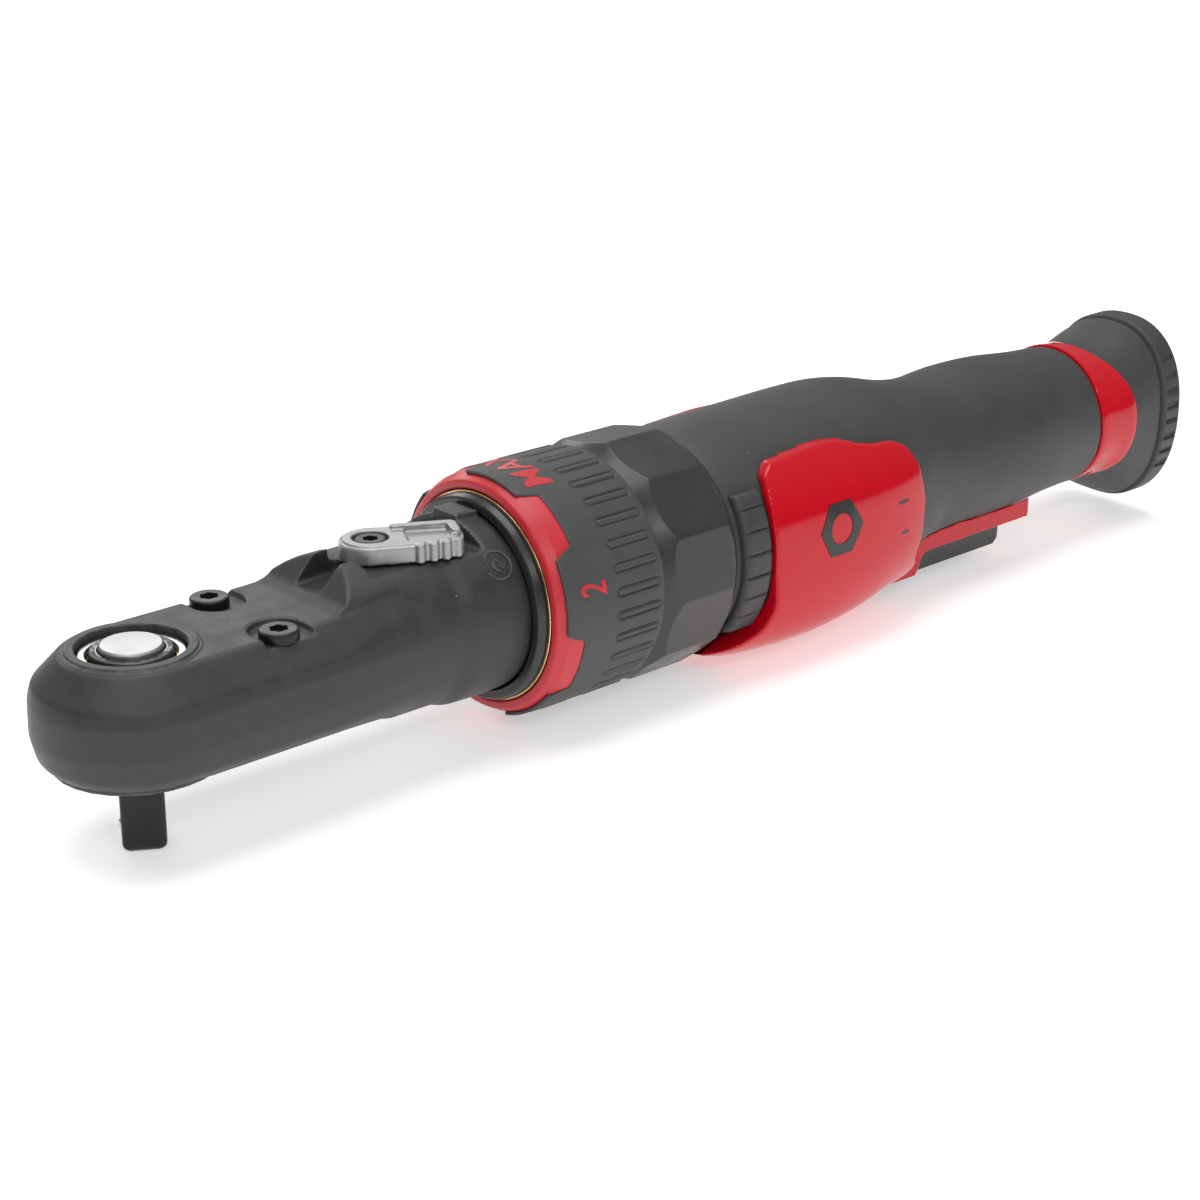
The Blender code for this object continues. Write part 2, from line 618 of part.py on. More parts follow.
# ---------------------------------------------------------------- selector
def selector_outline():
    """The lever's outline with its pivot at the origin and its thumb end along +X."""
    front = []
    for k in range(13):
        angle = math.radians(80) + math.radians(200) * k / 12
        front.append((4.8 * MM * math.cos(angle), 4.8 * MM * math.sin(angle)))
    near = [(6.0, -4.9), (9.0, -4.5), (12.0, -3.9), (13.6, -2.8)]
    far = [(14.0, -1.0), (14.0, 2.4), (13.2, 3.4), (6.0, 4.1)]
    return front + [(x * MM, y * MM) for x, y in near + far]


def build_selector():
    lever = prism("selector_lever", selector_outline(), LEVER_SEAT_Z + 0.35 * MM, LEVER_TOP_Z,
                  CAST_ALUMINIUM)
    lever.location = (LEVER_X, 0, 0)
    lever.rotation_euler = (0, 0, LEVER_REST)
    bore = lathe("lever_bore", [
        (32.0, 0), (32.0, 1.15), (34.9, 1.15), (34.9, 2.75), (40.0, 2.75), (40.0, 0),
    ], CAST_ALUMINIUM, "Z", (0, 0), 18)
    boolean(lever, bore)
    bore.location = (LEVER_X, 0, 0)
    # thumb ridge along the far edge
    ridge = block("lever_ridge_form", 3.0, 13.4, 2.2, 3.4, 36.0, 37.2, CAST_ALUMINIUM)
    ridge.location = (LEVER_X, 0, 0)
    ridge.rotation_euler = (0, 0, LEVER_REST)
    boolean(lever, ridge, "UNION")
    screw = cap_screw("selector_screw", LEVER_X, 0, 35.15, 2.4, 1.3, 0.8, 32.5)
    shaft = rod("selector_shaft", 31.5, 33.5, 1.8, BLACK_STEEL, "Z", (LEVER_X, 0), 16, 0.2)
    boolean(shaft, rod("selector_thread", 32.2, 35.0, 1.05, BLACK_STEEL, "Z", (LEVER_X, 0), 14, 0.02))
    peg_x = LEVER_X - PEG_THROW * math.sin(LEVER_REST)
    peg_y = PEG_THROW * math.cos(LEVER_REST)
    peg = rod("selector_peg_form", 30.0, 31.9, 0.5, BLACK_STEEL, "Z", (peg_x, peg_y), 16, 0.05)
    boolean(shaft, peg, "UNION")
    bar = block("shift_bar", 12.6, 34.4, -1.9, 1.9, 27.9, 28.9, GEAR_STEEL)
    boolean(bar, block("shift_bar_step_form", 33.2, 34.4, -1.9, 1.9, 28.4, 31.0, GEAR_STEEL), "UNION")
    boolean(bar, block("shift_bar_tail_form", 33.6, 44.4, -1.9, 1.9, 29.8, 31.0, GEAR_STEEL), "UNION")
    slot_x = peg_x / MM
    boolean(bar, block("shift_bar_slot", slot_x - 0.8, slot_x + 0.8, -0.2, 3.0, 27.0, 33.0, GEAR_STEEL))
    return lever, screw, shaft


# ---------------------------------------------------------------- crank and gear stage
def build_crank():
    crank = lathe("crankshaft", [
        (30.6, 0), (30.6, 5.2), (31.0, 5.6), (33.6, 5.6), (34.0, 4.5), (78.6, 4.5), (79.4, 10.9),
        (79.8, 11.2), (85.6, 11.2), (86.0, 10.9), (86.0, 4.2), (84.0, 3.6), (84.0, 0),
    ], GEAR_STEEL, steps=24)
    pin = rod("crank_pin_form", 23.0, 31.0, CRANK_PIN_R / MM, GEAR_STEEL, "X", (0, AXIS_Z + CRANK_THROW), 16)
    boolean(crank, pin, "UNION")
    for k in range(3):
        angle = math.pi / 2 + 2 * math.pi * k / 3
        spot = (PLANET_ORBIT_R * math.cos(angle), AXIS_Z + PLANET_ORBIT_R * math.sin(angle))
        boolean(crank, rod(f"planet_pin_form_{k}", 85.0, 96.6, 1.5, GEAR_STEEL, "X", spot, 12), "UNION")
    tube("crank_bush", 36.0, 48.0, 4.75, 7.2, BRONZE)
    tube("crank_needle_bearing", 66.0, 78.4, 4.8, 8.3, GROUND_STEEL)
    # ring gear, fixed between the head housing and the motor housing
    ring = rod("ring_gear", 88.0, 98.0, 13.6, GEAR_STEEL, steps=32, bevel=0.3)
    space = gear_outline(RING_TEETH, 0.10 * MM, (0, AXIS_Z), math.pi / 2, inside=True)
    boolean(ring, prism("ring_gear_teeth", space, 80 * MM, 110 * MM, GEAR_STEEL, axis="X"))
    for k in range(3):
        angle = math.pi / 2 + 2 * math.pi * k / 3
        spot = (PLANET_ORBIT_R * math.cos(angle), AXIS_Z + PLANET_ORBIT_R * math.sin(angle))
        teeth = gear_outline(PLANET_TEETH, 0.10 * MM, (0, 0), planet_phase(angle))
        planet = prism(f"planet_gear_{k + 1}", teeth, 88.2 * MM, 96.0 * MM, GEAR_STEEL, axis="X")
        planet.location = (0, spot[0], spot[1])
        boolean(planet, rod(f"planet_bore_{k}", 80.0, 110.0, 1.8, GEAR_STEEL, "X", spot, 12, 0.01))


def planet_phase(angle):
    """The turn that puts a planet, at this place on its orbit, in mesh with the ring gear."""
    ring_tooth = math.pi / 2
    # on the line of centres the ring's outline must be at a space, so a planet tooth points there
    steps = (angle - ring_tooth) / (2 * math.pi / RING_TEETH)
    offset = (steps - round(steps)) * (2 * math.pi / RING_TEETH)
    return angle - offset * RING_TEETH / PLANET_TEETH


def sun_phase():
    """The turn that puts the sun's space against the first planet's tooth."""
    angle = math.pi / 2
    inner = angle + math.pi
    phase = planet_phase(angle)
    steps = (inner - phase) / (2 * math.pi / PLANET_TEETH)
    offset = (steps - round(steps)) * (2 * math.pi / PLANET_TEETH)
    return angle + math.pi / SUN_TEETH + offset * PLANET_TEETH / SUN_TEETH


# ---------------------------------------------------------------- motor
def build_motor():
    tube("motor_front_plate", 100.4, 104.0, 8.3, 15.2, CAST_ALUMINIUM)
    tube("rotor_front_bearing", 98.6, 103.4, 3.4, 8.0, GROUND_STEEL)
    tube("motor_rear_plate", 146.3, 150.2, 6.3, 15.2, CAST_ALUMINIUM)
    tube("rotor_rear_bearing", 146.6, 150.0, 3.4, 6.0, GROUND_STEEL)
    cylinder = rod("motor_cylinder", MOTOR_X0 / MM, MOTOR_X1 / MM, 15.2, CAST_ALUMINIUM, steps=32,
                   bevel=0.3)
    bore_at = (0.0, AXIS_Z + ROTOR_DROP)
    boolean(cylinder, rod("cylinder_bore", 100.0, 150.0, MOTOR_BORE_R / MM, CAST_ALUMINIUM, "X", bore_at,
                          32, 0.01))
    boolean(cylinder, block("exhaust_slot", 112.0, 138.0, -20.0, -8.0, 17.43, 20.27, CAST_ALUMINIUM))
    rotor = lathe("rotor", [
        (87.4, 0), (87.4, 2.5), (98.0, 2.5), (98.0, 3.1), (104.4, 3.1), (104.6, 11.0),
        (104.8, ROTOR_R / MM), (145.3, ROTOR_R / MM), (145.5, 11.0), (145.7, 3.1), (150.4, 3.1), (150.4, 0),
    ], GEAR_STEEL, steps=25)
    sun = gear_outline(SUN_TEETH, 0.10 * MM, (0, AXIS_Z), sun_phase())
    boolean(rotor, prism("sun_gear_form", sun, 87.6 * MM, 97.0 * MM, GEAR_STEEL, axis="X"), "UNION")
    for k in range(5):
        angle = math.pi / 2 + 2 * math.pi * k / 5
        slot = block(f"vane_slot_{k}", 104.0, 146.5, 5.0, 14.0, -0.95, 0.95, GEAR_STEEL)
        slot.rotation_euler = (angle, 0, 0)
        slot.location = (0, 0, AXIS_Z)
        boolean(rotor, slot)
        vane = block(f"vane_{k + 1}", 105.0, 145.3, 5.4, 11.1, -0.7, 0.7, VANE_RESIN)
        vane.rotation_euler = (angle, 0, 0)
        vane.location = (0, 0, AXIS_Z)
    return rotor


# ---------------------------------------------------------------- dial and nut
def build_dial():
    seal = lathe("seal_ring", [
        (61.0, 15.0), (61.0, 16.2), (61.6, 16.7), (64.4, 16.7), (64.4, 14.35), (62.4, 14.35), (62.0, 15.0),
    ], BLACK_PLASTIC, steps=32)
    boolean(seal, block("seal_notch", 60.0, 63.4, -0.2, 3.0, 36.4, 40.0, BLACK_PLASTIC))
    lathe("brass_wire_ring", [
        (64.7, 15.9), (64.7, 16.5), (65.3, 16.5), (65.3, 15.9),
    ], BRASS, steps=32)
    ring = lathe("dial_ring", [
        (DIAL_FRONT_X / MM + 0.6, 17.0), (DIAL_FRONT_X / MM, 17.4), (DIAL_FRONT_X / MM + 0.2, 18.2),
        (64.4, 19.2), (66.6, 19.75), (67.6, 19.8), (67.6, 18.0), (84.0, 18.0), (84.0, 14.6),
        (66.0, 14.6), (66.0, 17.0),
    ], RED_PLASTIC, steps=36)
    sleeve = lathe("dial_sleeve", [
        (67.9, 18.3), (67.9, 19.6), (68.3, 19.9), (80.0, 20.0), (83.6, 19.7), (84.4, 19.0), (84.4, 18.3),
    ], DIAL_RUBBER, steps=36)
    block("index_tab", 61.3, 63.1, 0.1, 2.7, 36.9, 38.2, RED_PLASTIC)
    bpy.ops.mesh.primitive_uv_sphere_add(segments=12, ring_count=7, radius=1.0 * MM)
    ball = bpy.context.object
    ball.name = "dial_ball"
    ball.data.name = "dial_ball"
    ball.location = (74.0 * MM, 0, AXIS_Z + 13.3 * MM)
    for face in ball.data.polygons:
        face.use_smooth = True
    ball.data.materials.append(GROUND_STEEL)
    return ring, sleeve


def build_nut():
    outline = []
    for k in range(NUT_FACETS):
        angle = math.pi + NUT_TURN * -1 + 2 * math.pi * k / NUT_FACETS
        outline.append((NUT_CORNER_R * math.cos(angle), AXIS_Z + NUT_CORNER_R * math.sin(angle)))
    nut = prism("clamp_nut", outline, NUT_FRONT_X, NUT_REAR_X, NUT_BLACK, axis="X", sharp=10.0)
    cone = lathe("nut_chamfer_form", [(84.7, 0), (84.7, 18.7), (88.8, 20.8), (100.3, 20.8), (101.0, 0)],
                 NUT_BLACK, steps=48)
    boolean(nut, cone, "INTERSECT")
    boolean(nut, lathe("nut_bore", [
        (80.0, 0), (80.0, 14.6), (87.7, 14.6), (87.7, 16.8), (104.0, 16.8), (104.0, 0),
    ], NUT_BLACK, steps=48))
    return nut


# ---------------------------------------------------------------- grip
GRIP_TABLE = [
    # x, half width, height above the axis, depth below it, in millimetres
    (101.4, 18.6, 18.6, 18.0),
    (104.0, 18.9, 19.0, 18.2),
    (121.0, 19.0, 19.6, 18.4),
    (136.0, 19.2, 19.9, 18.4),
    (143.0, 19.0, 19.8, 18.0),
    (149.0, 18.2, 19.0, 17.0),
    (159.0, 15.8, 16.6, 13.9),
    (167.0, 15.0, 15.6, 13.2),
    (177.0, 15.0, 16.2, 13.2),
    (187.0, 14.8, 16.0, 13.2),
    (198.0, 13.9, 14.9, 12.6),
    (209.0, 13.3, 14.2, 12.3),
    (216.0, 13.3, 14.0, 12.6),
]
SHROUD_TABLE = [
    # x, half width, height above the axis, depth below it
    (100.4, 20.0, 20.0, 18.6),
    (106.0, 20.4, 20.4, 20.2),
    (112.0, 20.6, 20.6, 21.0),
    (125.0, 20.8, 20.8, 21.4),
    (135.0, 20.6, 20.6, 20.3),
    (143.0, 20.0, 20.3, 18.4),
    (149.5, 19.0, 19.6, 17.4),
]
BOOT_TABLE = [
    # x, half width, half height, drop of the section's centre, squareness
    (213.4, 13.4, 13.5, -0.8, 2.0),
    (217.0, 13.5, 14.6, -0.2, 2.1),
    (221.0, 13.6, 16.4, 0.5, 2.2),
    (225.2, 13.7, 17.7, 1.0, 2.3),
]
SHROUD_SIDE = [
    # outline of the shroud seen from the side: x, height over the axis
    (109.1, 2.0), (109.2, 9.5), (110.2, 13.2), (112.6, 14.6), (118.0, 15.0), (124.5, 15.4), (130.0, 15.1),
    (134.0, 13.7), (138.0, 12.9), (142.0, 12.7), (145.2, 11.2), (147.2, 8.0), (148.0, 2.0), (147.8, -5.0),
    (147.0, -9.0), (149.0, -11.0), (149.2, -26.0), (100.8, -26.0), (101.0, -16.9), (104.6, -15.4),
    (108.6, -12.6), (110.2, -8.6), (109.2, -3.0),
]
GRIP_STATIONS = [101.4, 105, 112, 121, 129, 136, 143, 149, 154, 159, 163, 167, 172, 177, 182, 187, 193,
                 198, 203, 206.6]
ROUND_COUNT = 40


def grip_section(x, inset=0.0, count=ROUND_COUNT):
    side, top, bottom = between(GRIP_TABLE, x / MM)
    return grip_ring((side - inset) * MM, (top - inset) * MM, (bottom - inset) * MM, count)


def housing_profile(grow):
    return [(151.2, 16.4 + grow), (154.8, 11.5 + grow), (156.4, 10.6 + grow), (240.0, 10.6 + grow),
            (240.0, 0)]


def build_housing():
    """The inner handle: motor barrel, air passages and the inlet boss."""
    core = lathe("motor_housing", [
        (93.3, 0), (93.3, 16.4), (151.0, 16.3), (154.6, 11.4), (156.2, 10.6), (226.0, 10.6), (226.0, 0),
    ], CAST_ALUMINIUM, steps=28)
    boolean(core, lathe("motor_bore", [
        (90.0, 0), (90.0, 13.9), (98.3, 13.9), (98.3, 15.5), (150.6, 15.5), (150.6, 3.8), (206.0, 3.8),
        (206.0, 8.3), (240.0, 8.3), (240.0, 0),
    ], CAST_ALUMINIUM, steps=28))
    boolean(core, rod("valve_chamber", 6.0, 27.0, 4.7, CAST_ALUMINIUM, "Z", (VALVE_X, 0), 20, 0.01))
    return core


def build_grip():
    sections = [(x * MM, grip_section(x * MM)) for x in GRIP_STATIONS]
    grip = loft_x("grip_overmould", sections, GRIP_RUBBER, 40.0)
    hollow = lathe("grip_hollow", [(90.0, 0), (90.0, 16.7)] + housing_profile(0.3), GRIP_RUBBER, steps=28)
    boolean(grip, hollow)
    # a trough that the throttle lever is squeezed into
    axis = AXIS_Z / MM
    boolean(grip, block("throttle_trough", 150.2, 187.2, -7.3, 7.3, -5.0, axis - 9.9, GRIP_RUBBER))
    # red band round the rear of the grip
    band_xs = (206.9, 213.1)
    band = loft_x("rear_band", [(x * MM, grip_section(x * MM)) for x in band_xs], RED_GLOSS, 40.0)
    boolean(band, rod("rear_band_bore", 200.0, 220.0, 10.95, RED_GLOSS, "X", (0, AXIS_Z), 32, 0.01))
    # ribbed side pads between the clamp nut and the shroud
    for side, name in ((-1, "right"), (1, "left")):
        points = []
        for k in range(17):
            a = math.radians(-40 + 76 * k / 16)
            points.append((side * 20.1 * MM * math.cos(a), AXIS_Z + 20.1 * MM * math.sin(a)))
        for k in range(17):
            a = math.radians(36 - 76 * k / 16)
            points.append((side * 19.3 * MM * math.cos(a), AXIS_Z + 19.3 * MM * math.sin(a)))
        prism(f"ribbed_pad_{name}", points, 103.2 * MM, 108.4 * MM, GRIP_RUBBER, axis="X")
    return grip


def build_shroud():
    xs = [100.4, 103, 106, 112, 118, 125, 130, 135, 143, 149.5]
    sections = []
    for x in xs:
        side, top, bottom = between(SHROUD_TABLE, x)
        sections.append((x * MM, grip_ring(side * MM, top * MM, bottom * MM, ROUND_COUNT, 2.1, 2.8)))
    shroud = loft_x("side_shroud", sections, RED_GLOSS, 40.0)
    outline = [(x * MM, AXIS_Z + z * MM) for x, z in SHROUD_SIDE]
    boolean(shroud, prism("shroud_side_form", outline, -30 * MM, 30 * MM, RED_GLOSS, axis="Y"), "INTERSECT")
    hollow_xs = [95.0] + GRIP_STATIONS[:10]
    hollow_sections = [(x * MM, grip_section(x * MM, -0.3 * MM)) for x in hollow_xs]
    hollow = loft_x("shroud_hollow", hollow_sections, RED_GLOSS)
    boolean(shroud, hollow)
    # the forward-facing exhaust scoop under the front lip
    axis = AXIS_Z / MM
    boolean(shroud, block("exhaust_scoop", 99.0, 112.0, -11.0, 11.0, axis - 19.6, axis - 10, RED_GLOSS))
    # frame under the handle that carries the throttle lever
    frame = block("throttle_bezel", 149.7, 191.0, -9.2, 9.2, axis - 18.0, axis - 8.5, RED_GLOSS)
    side_cut = [(160.5, -14.0), (195.0, -14.0), (195.0, -22.0), (146.0, -22.0), (146.0, -18.4),
                (158.5, -18.2), (159.6, -16.0)]
    boolean(frame, prism("bezel_side_cut", [(x * MM, AXIS_Z + z * MM) for x, z in side_cut],
                         -12 * MM, 12 * MM, RED_GLOSS, axis="Y"))
    boolean(frame, block("bezel_slot", 150.6, 187.6, -7.3, 7.3, -5.0, 20.0, RED_GLOSS))
    frame_xs = GRIP_STATIONS[6:18]
    frame_sections = [(x * MM, grip_section(x * MM, -0.3 * MM)) for x in frame_xs]
    boolean(frame, loft_x("bezel_hollow", frame_sections, RED_GLOSS))
    boolean(frame, rod("bezel_pin_hole", -12.0, 12.0, 1.0, RED_GLOSS, "Y",
                       (THROTTLE_PIVOT_X, THROTTLE_PIVOT_Z), 14, 0.01))
    return shroud


def build_throttle():
    outline = [(153.1, -17.0), (154.4, -18.4), (183.6, -18.4), (184.6, -17.6), (184.8, -14.9), (184.2, -14.2),
               (154.0, -14.2), (153.1, -15.2)]
    points = rounded([(x * MM, AXIS_Z + z * MM) for x, z in outline], 0.3 * MM, 2)
    lever = prism("throttle_lever", points, -6.9 * MM, 6.9 * MM, BLACK_PLASTIC, axis="Y")
    boolean(lever, rod("throttle_pin_bore", -12.0, 12.0, 1.25, BLACK_PLASTIC, "Y",
                       (THROTTLE_PIVOT_X, THROTTLE_PIVOT_Z), 14, 0.01))
    rod("throttle_pin", -9.0, 9.0, 0.95, GROUND_STEEL, "Y", (THROTTLE_PIVOT_X, THROTTLE_PIVOT_Z), 14, 0.15)
    axis = AXIS_Z / MM
    centre = (VALVE_X, 0)
    lathe("valve_seat", [(axis - 10.4, 1.7), (axis - 10.4, 4.4), (axis - 6.6, 4.4), (axis - 6.6, 1.7)],
          BRASS, "Z", centre, 20)
    lathe("valve_stem", [
        (axis - 13.9, 0), (axis - 13.9, 0.9), (axis - 13.6, 1.3), (axis - 6.3, 1.3), (axis - 6.3, 3.2),
        (axis - 4.6, 3.2),
        (axis - 4.2, 2.8), (axis - 4.2, 0.9), (axis - 1.6, 0.9), (axis - 1.6, 0),
    ], GROUND_STEEL, "Z", centre, 20)
    coil("valve_spring", centre, axis - 3.7, axis + 2.6, 2.1, 0.35, 3.5, GROUND_STEEL)


def coil(name, centre, z0, z1, radius, wire, turns, mat):
    """A helical spring with plain ends, in millimetres."""
    bm = bmesh.new()
    rings = []
    steps = int(turns * 10)
    for k in range(steps + 1):
        t = k / steps
        a = 2 * math.pi * turns * t
        z = z0 + wire + (z1 - z0 - 2 * wire) * t
        outwards = Vector((math.cos(a), math.sin(a), 0))
        here = Vector((centre[0], centre[1], 0)) + outwards * radius * MM + Vector((0, 0, z * MM))
        ring = []
        for j in range(5):
            b = 2 * math.pi * j / 5
            spot = here + outwards * wire * MM * math.cos(b) + Vector((0, 0, wire * MM * math.sin(b)))
            ring.append(bm.verts.new(spot))
        rings.append(ring)
    ring_faces(bm, rings)
    return finish(name, bm, mat, 80.0)


def boot_section(x, grow=0.0):
    side, half, drop, power = between(BOOT_TABLE, x)
    points = grip_ring((side + grow) * MM, (half + grow) * MM, (half + grow) * MM, ROUND_COUNT, power)
    return [(y, z - drop * MM) for y, z in points]


def build_boot():
    xs = [213.4, 215.5, 218, 220.5, 223, 225.2]
    sections = [(x * MM, boot_section(x)) for x in xs]
    for x, grow in ((225.8, -0.35), (226.2, 0.55), (230.4, 0.6), (231.4, -0.3)):
        sections.append((x * MM, boot_section(225.2, grow)))
    boot = loft_x("exhaust_boot", sections, GRIP_RUBBER, 40.0)
    boolean(boot, lathe("boot_hollow", [
        (200.0, 0), (200.0, 10.95), (222.0, 10.95), (224.0, 11.6), (240.0, 11.6), (240.0, 0),
    ], GRIP_RUBBER, steps=28))
    lathe("silencer", [(226.4, 8.6), (226.4, 11.3), (229.6, 11.3), (229.6, 8.6)], FELT, steps=24)
    bush = prism("inlet_bushing", [(y, AXIS_Z + z) for y, z in polygon(8.2 * MM, 6)], 225.0 * MM, 232.0 * MM,
                 GEAR_STEEL, axis="X")
    boolean(bush, rod("inlet_thread_form", 208.0, 225.6, 8.0, GEAR_STEEL, "X", (0, AXIS_Z), 20, 0.3), "UNION")
    boolean(bush, rod("inlet_hole", 200.0, 240.0, 5.6, GEAR_STEEL, "X", (0, AXIS_Z), 20, 0.01))
    tube("inlet_screen", 206.4, 207.6, 1.2, 7.9, BRASS)
    return boot


build_head()
build_drive()
build_yoke()
build_selector()
for screw_side, screw_name in ((1, "head_screw_left"), (-1, "head_screw_right")):
    cap_screw(screw_name, HEAD_SCREW_X, screw_side * HEAD_SCREW_Y, HEAD_SCREW_SEAT_Z / MM, 2.95,
              HEAD_SCREW_HEAD_H / MM, 1.5, 15.5)
build_crank()
build_motor()
build_dial()
build_nut()
build_housing()
build_grip()
build_shroud()
build_throttle()
build_boot()


# ---------------------------------------------------------------- moving groups
def group(name, point, members):
    """Hang pieces that move together on an empty that stands on their joint's axis."""
    holder = bpy.data.objects.new(name, None)
    holder.location = point
    bpy.context.scene.collection.objects.link(holder)
    for member in members:
        obj = bpy.data.objects[member]
        obj.parent = holder
        obj.location = obj.location - holder.location
    return holder


group("spindle_axis", (0, 0, 20.5 * MM), ["drive_spindle"])
group("anvil_axis", (0, 0, 4 * MM), ["anvil", "anvil_ball"])
group("yoke_axis", (0, 0, 21.5 * MM), ["yoke", "pawl_pin_left", "pawl_pin_right"])
group("pawl_left_axis", (PAWL_PIN_X, PAWL_PIN_Y, 21.5 * MM), ["pawl_left"])
group("pawl_right_axis", (PAWL_PIN_X, -PAWL_PIN_Y, 21.5 * MM), ["pawl_right"])
group("selector_axis", (LEVER_X, 0, 34 * MM), ["selector_lever", "selector_screw", "selector_shaft"])
group("crank_axis", (60 * MM, 0, AXIS_Z), ["crankshaft"])
group("motor_axis", (125 * MM, 0, AXIS_Z), ["rotor"] + [f"vane_{k + 1}" for k in range(5)])
group("dial_axis", (73 * MM, 0, AXIS_Z), ["dial_ring", "dial_sleeve"])
group("throttle_axis", (THROTTLE_PIVOT_X, 0, THROTTLE_PIVOT_Z), ["throttle_lever"])
group("valve_axis", (VALVE_X, 0, AXIS_Z), ["valve_stem", "valve_spring"])
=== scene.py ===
"""The looks of an inline air ratchet: fine surfaces, procedural materials, light and camera.

Sizes in the tables and helpers are millimetres in the part's own frame. make() turns them into metres.
"""

import math

import bmesh
import bpy
from mathutils import Matrix, Vector


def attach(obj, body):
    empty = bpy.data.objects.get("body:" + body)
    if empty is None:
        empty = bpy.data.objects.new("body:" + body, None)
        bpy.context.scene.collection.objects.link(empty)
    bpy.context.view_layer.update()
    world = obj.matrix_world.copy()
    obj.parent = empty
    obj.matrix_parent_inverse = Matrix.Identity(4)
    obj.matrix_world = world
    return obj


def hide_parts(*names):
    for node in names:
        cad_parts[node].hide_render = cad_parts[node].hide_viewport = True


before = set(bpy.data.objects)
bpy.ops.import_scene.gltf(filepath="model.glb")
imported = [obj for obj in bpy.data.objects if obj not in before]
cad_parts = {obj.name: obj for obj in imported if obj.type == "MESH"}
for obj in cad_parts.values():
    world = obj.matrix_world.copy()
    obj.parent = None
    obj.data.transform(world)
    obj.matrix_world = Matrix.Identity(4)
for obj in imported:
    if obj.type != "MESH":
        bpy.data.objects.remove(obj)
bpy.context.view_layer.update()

MM = 0.001
AXIS = 22.0
TURN = 2 * math.pi
SQUARE_TURN = math.radians(-31.8)
LEVER_X = 42.0
LEVER_REST = math.radians(-26.8)
SQUARE_HALF = 3.175
HEXAGON_CORNER = 6.415
BALL_HEIGHT = 3.6
NUT_CORNER = 20.5
SHROUD_UPPER = 2.1
SHROUD_LOWER = 2.8
PAD_FRONT, PAD_REAR = 102.6, 108.7
PAD_LOW, PAD_HIGH = -40, 36
SCREW_X, SCREW_Y, SCREW_SEAT = 18.8, 8.7, 29.2
SCENE = bpy.context.scene


# ---------------------------------------------------------------- materials
def surface(name, colour, roughness, metallic=0.0, mottle=0.12, mottle_scale=260.0, grain=0.0,
            grain_scale=2600.0, coat=0.0, coat_rough=0.05, wear=0.0, wear_colour=(0.35, 0.35, 0.34),
            wear_radius=0.00035, specks=0.0, specular=0.5, rough_spread=0.08, brushed=None):
    """A procedural material: uneven colour and gloss, fine grain, rubbed edges and a few specks of dust."""
    made = bpy.data.materials.new(name)
    made.use_nodes = True
    tree = made.node_tree
    nodes, links = tree.nodes, tree.links
    shader = nodes["Principled BSDF"]
    shader.inputs["Metallic"].default_value = metallic
    shader.inputs["Specular IOR Level"].default_value = specular
    shader.inputs["Coat Weight"].default_value = coat
    shader.inputs["Coat Roughness"].default_value = coat_rough
    place = nodes.new("ShaderNodeTexCoord").outputs["Object"]
    if brushed:
        mapping = nodes.new("ShaderNodeMapping")
        mapping.inputs["Scale"].default_value = brushed
        links.new(place, mapping.inputs["Vector"])
        fine_place = mapping.outputs["Vector"]
    else:
        fine_place = place

    def add(kind, **values):
        """A node with its inputs set; From_Min stands for the input From Min."""
        node = nodes.new(kind)
        for key, value in values.items():
            node.inputs[key.replace("_", " ")].default_value = value
        return node

    def noise(scale, detail, where=place):
        node = add("ShaderNodeTexNoise", Scale=scale, Detail=detail, Roughness=0.6)
        links.new(where, node.inputs["Vector"])
        return node.outputs["Fac"]

    def spread(value, low, high, start=0.28, stop=0.72):
        node = add("ShaderNodeMapRange", From_Min=start, From_Max=stop, To_Min=low, To_Max=high)
        links.new(value, node.inputs["Value"])
        return node.outputs["Result"]

    broad = noise(mottle_scale, 4)
    fine = noise(grain_scale, 3, fine_place)
    blend = nodes.new("ShaderNodeMix")
    blend.data_type = "RGBA"
    dark = tuple(c * (1 - mottle) for c in colour)
    light = tuple(min(1.0, c * (1 + mottle)) for c in colour)
    blend.inputs["A"].default_value = (*dark, 1)
    blend.inputs["B"].default_value = (*light, 1)
    links.new(spread(broad, 0.0, 1.0), blend.inputs["Factor"])
    result = blend.outputs["Result"]

    def over(factor, paint):
        nonlocal result
        node = nodes.new("ShaderNodeMix")
        node.data_type = "RGBA"
        node.inputs["B"].default_value = (*paint, 1)
        links.new(result, node.inputs["A"])
        links.new(factor, node.inputs["Factor"])
        result = node.outputs["Result"]

    if wear:
        rounded = add("ShaderNodeBevel", Radius=wear_radius)
        rounded.samples = 4
        facing = nodes.new("ShaderNodeVectorMath")
        facing.operation = "DOT_PRODUCT"
        links.new(rounded.outputs["Normal"], facing.inputs[0])
        links.new(nodes.new("ShaderNodeNewGeometry").outputs["Normal"], facing.inputs[1])
        patchy = nodes.new("ShaderNodeMath")
        patchy.operation = "MULTIPLY"
        links.new(spread(facing.outputs["Value"], 0.0, 1.0, 0.995, 0.93), patchy.inputs[0])
        links.new(spread(noise(620.0, 5), 0.0, wear), patchy.inputs[1])
        over(patchy.outputs["Value"], wear_colour)
    if specks:
        cells = add("ShaderNodeTexVoronoi", Scale=210.0)
        links.new(place, cells.inputs["Vector"])
        over(spread(cells.outputs["Distance"], 0.0, specks, 0.030, 0.018), (0.42, 0.42, 0.41))
    links.new(result, shader.inputs["Base Color"])
    links.new(spread(broad, roughness - rough_spread, roughness + rough_spread), shader.inputs["Roughness"])
    if grain:
        bump = add("ShaderNodeBump", Strength=0.6, Distance=grain * MM)
        links.new(fine, bump.inputs["Height"])
        links.new(bump.outputs["Normal"], shader.inputs["Normal"])
    made.diffuse_color = (*colour, 1)
    return made


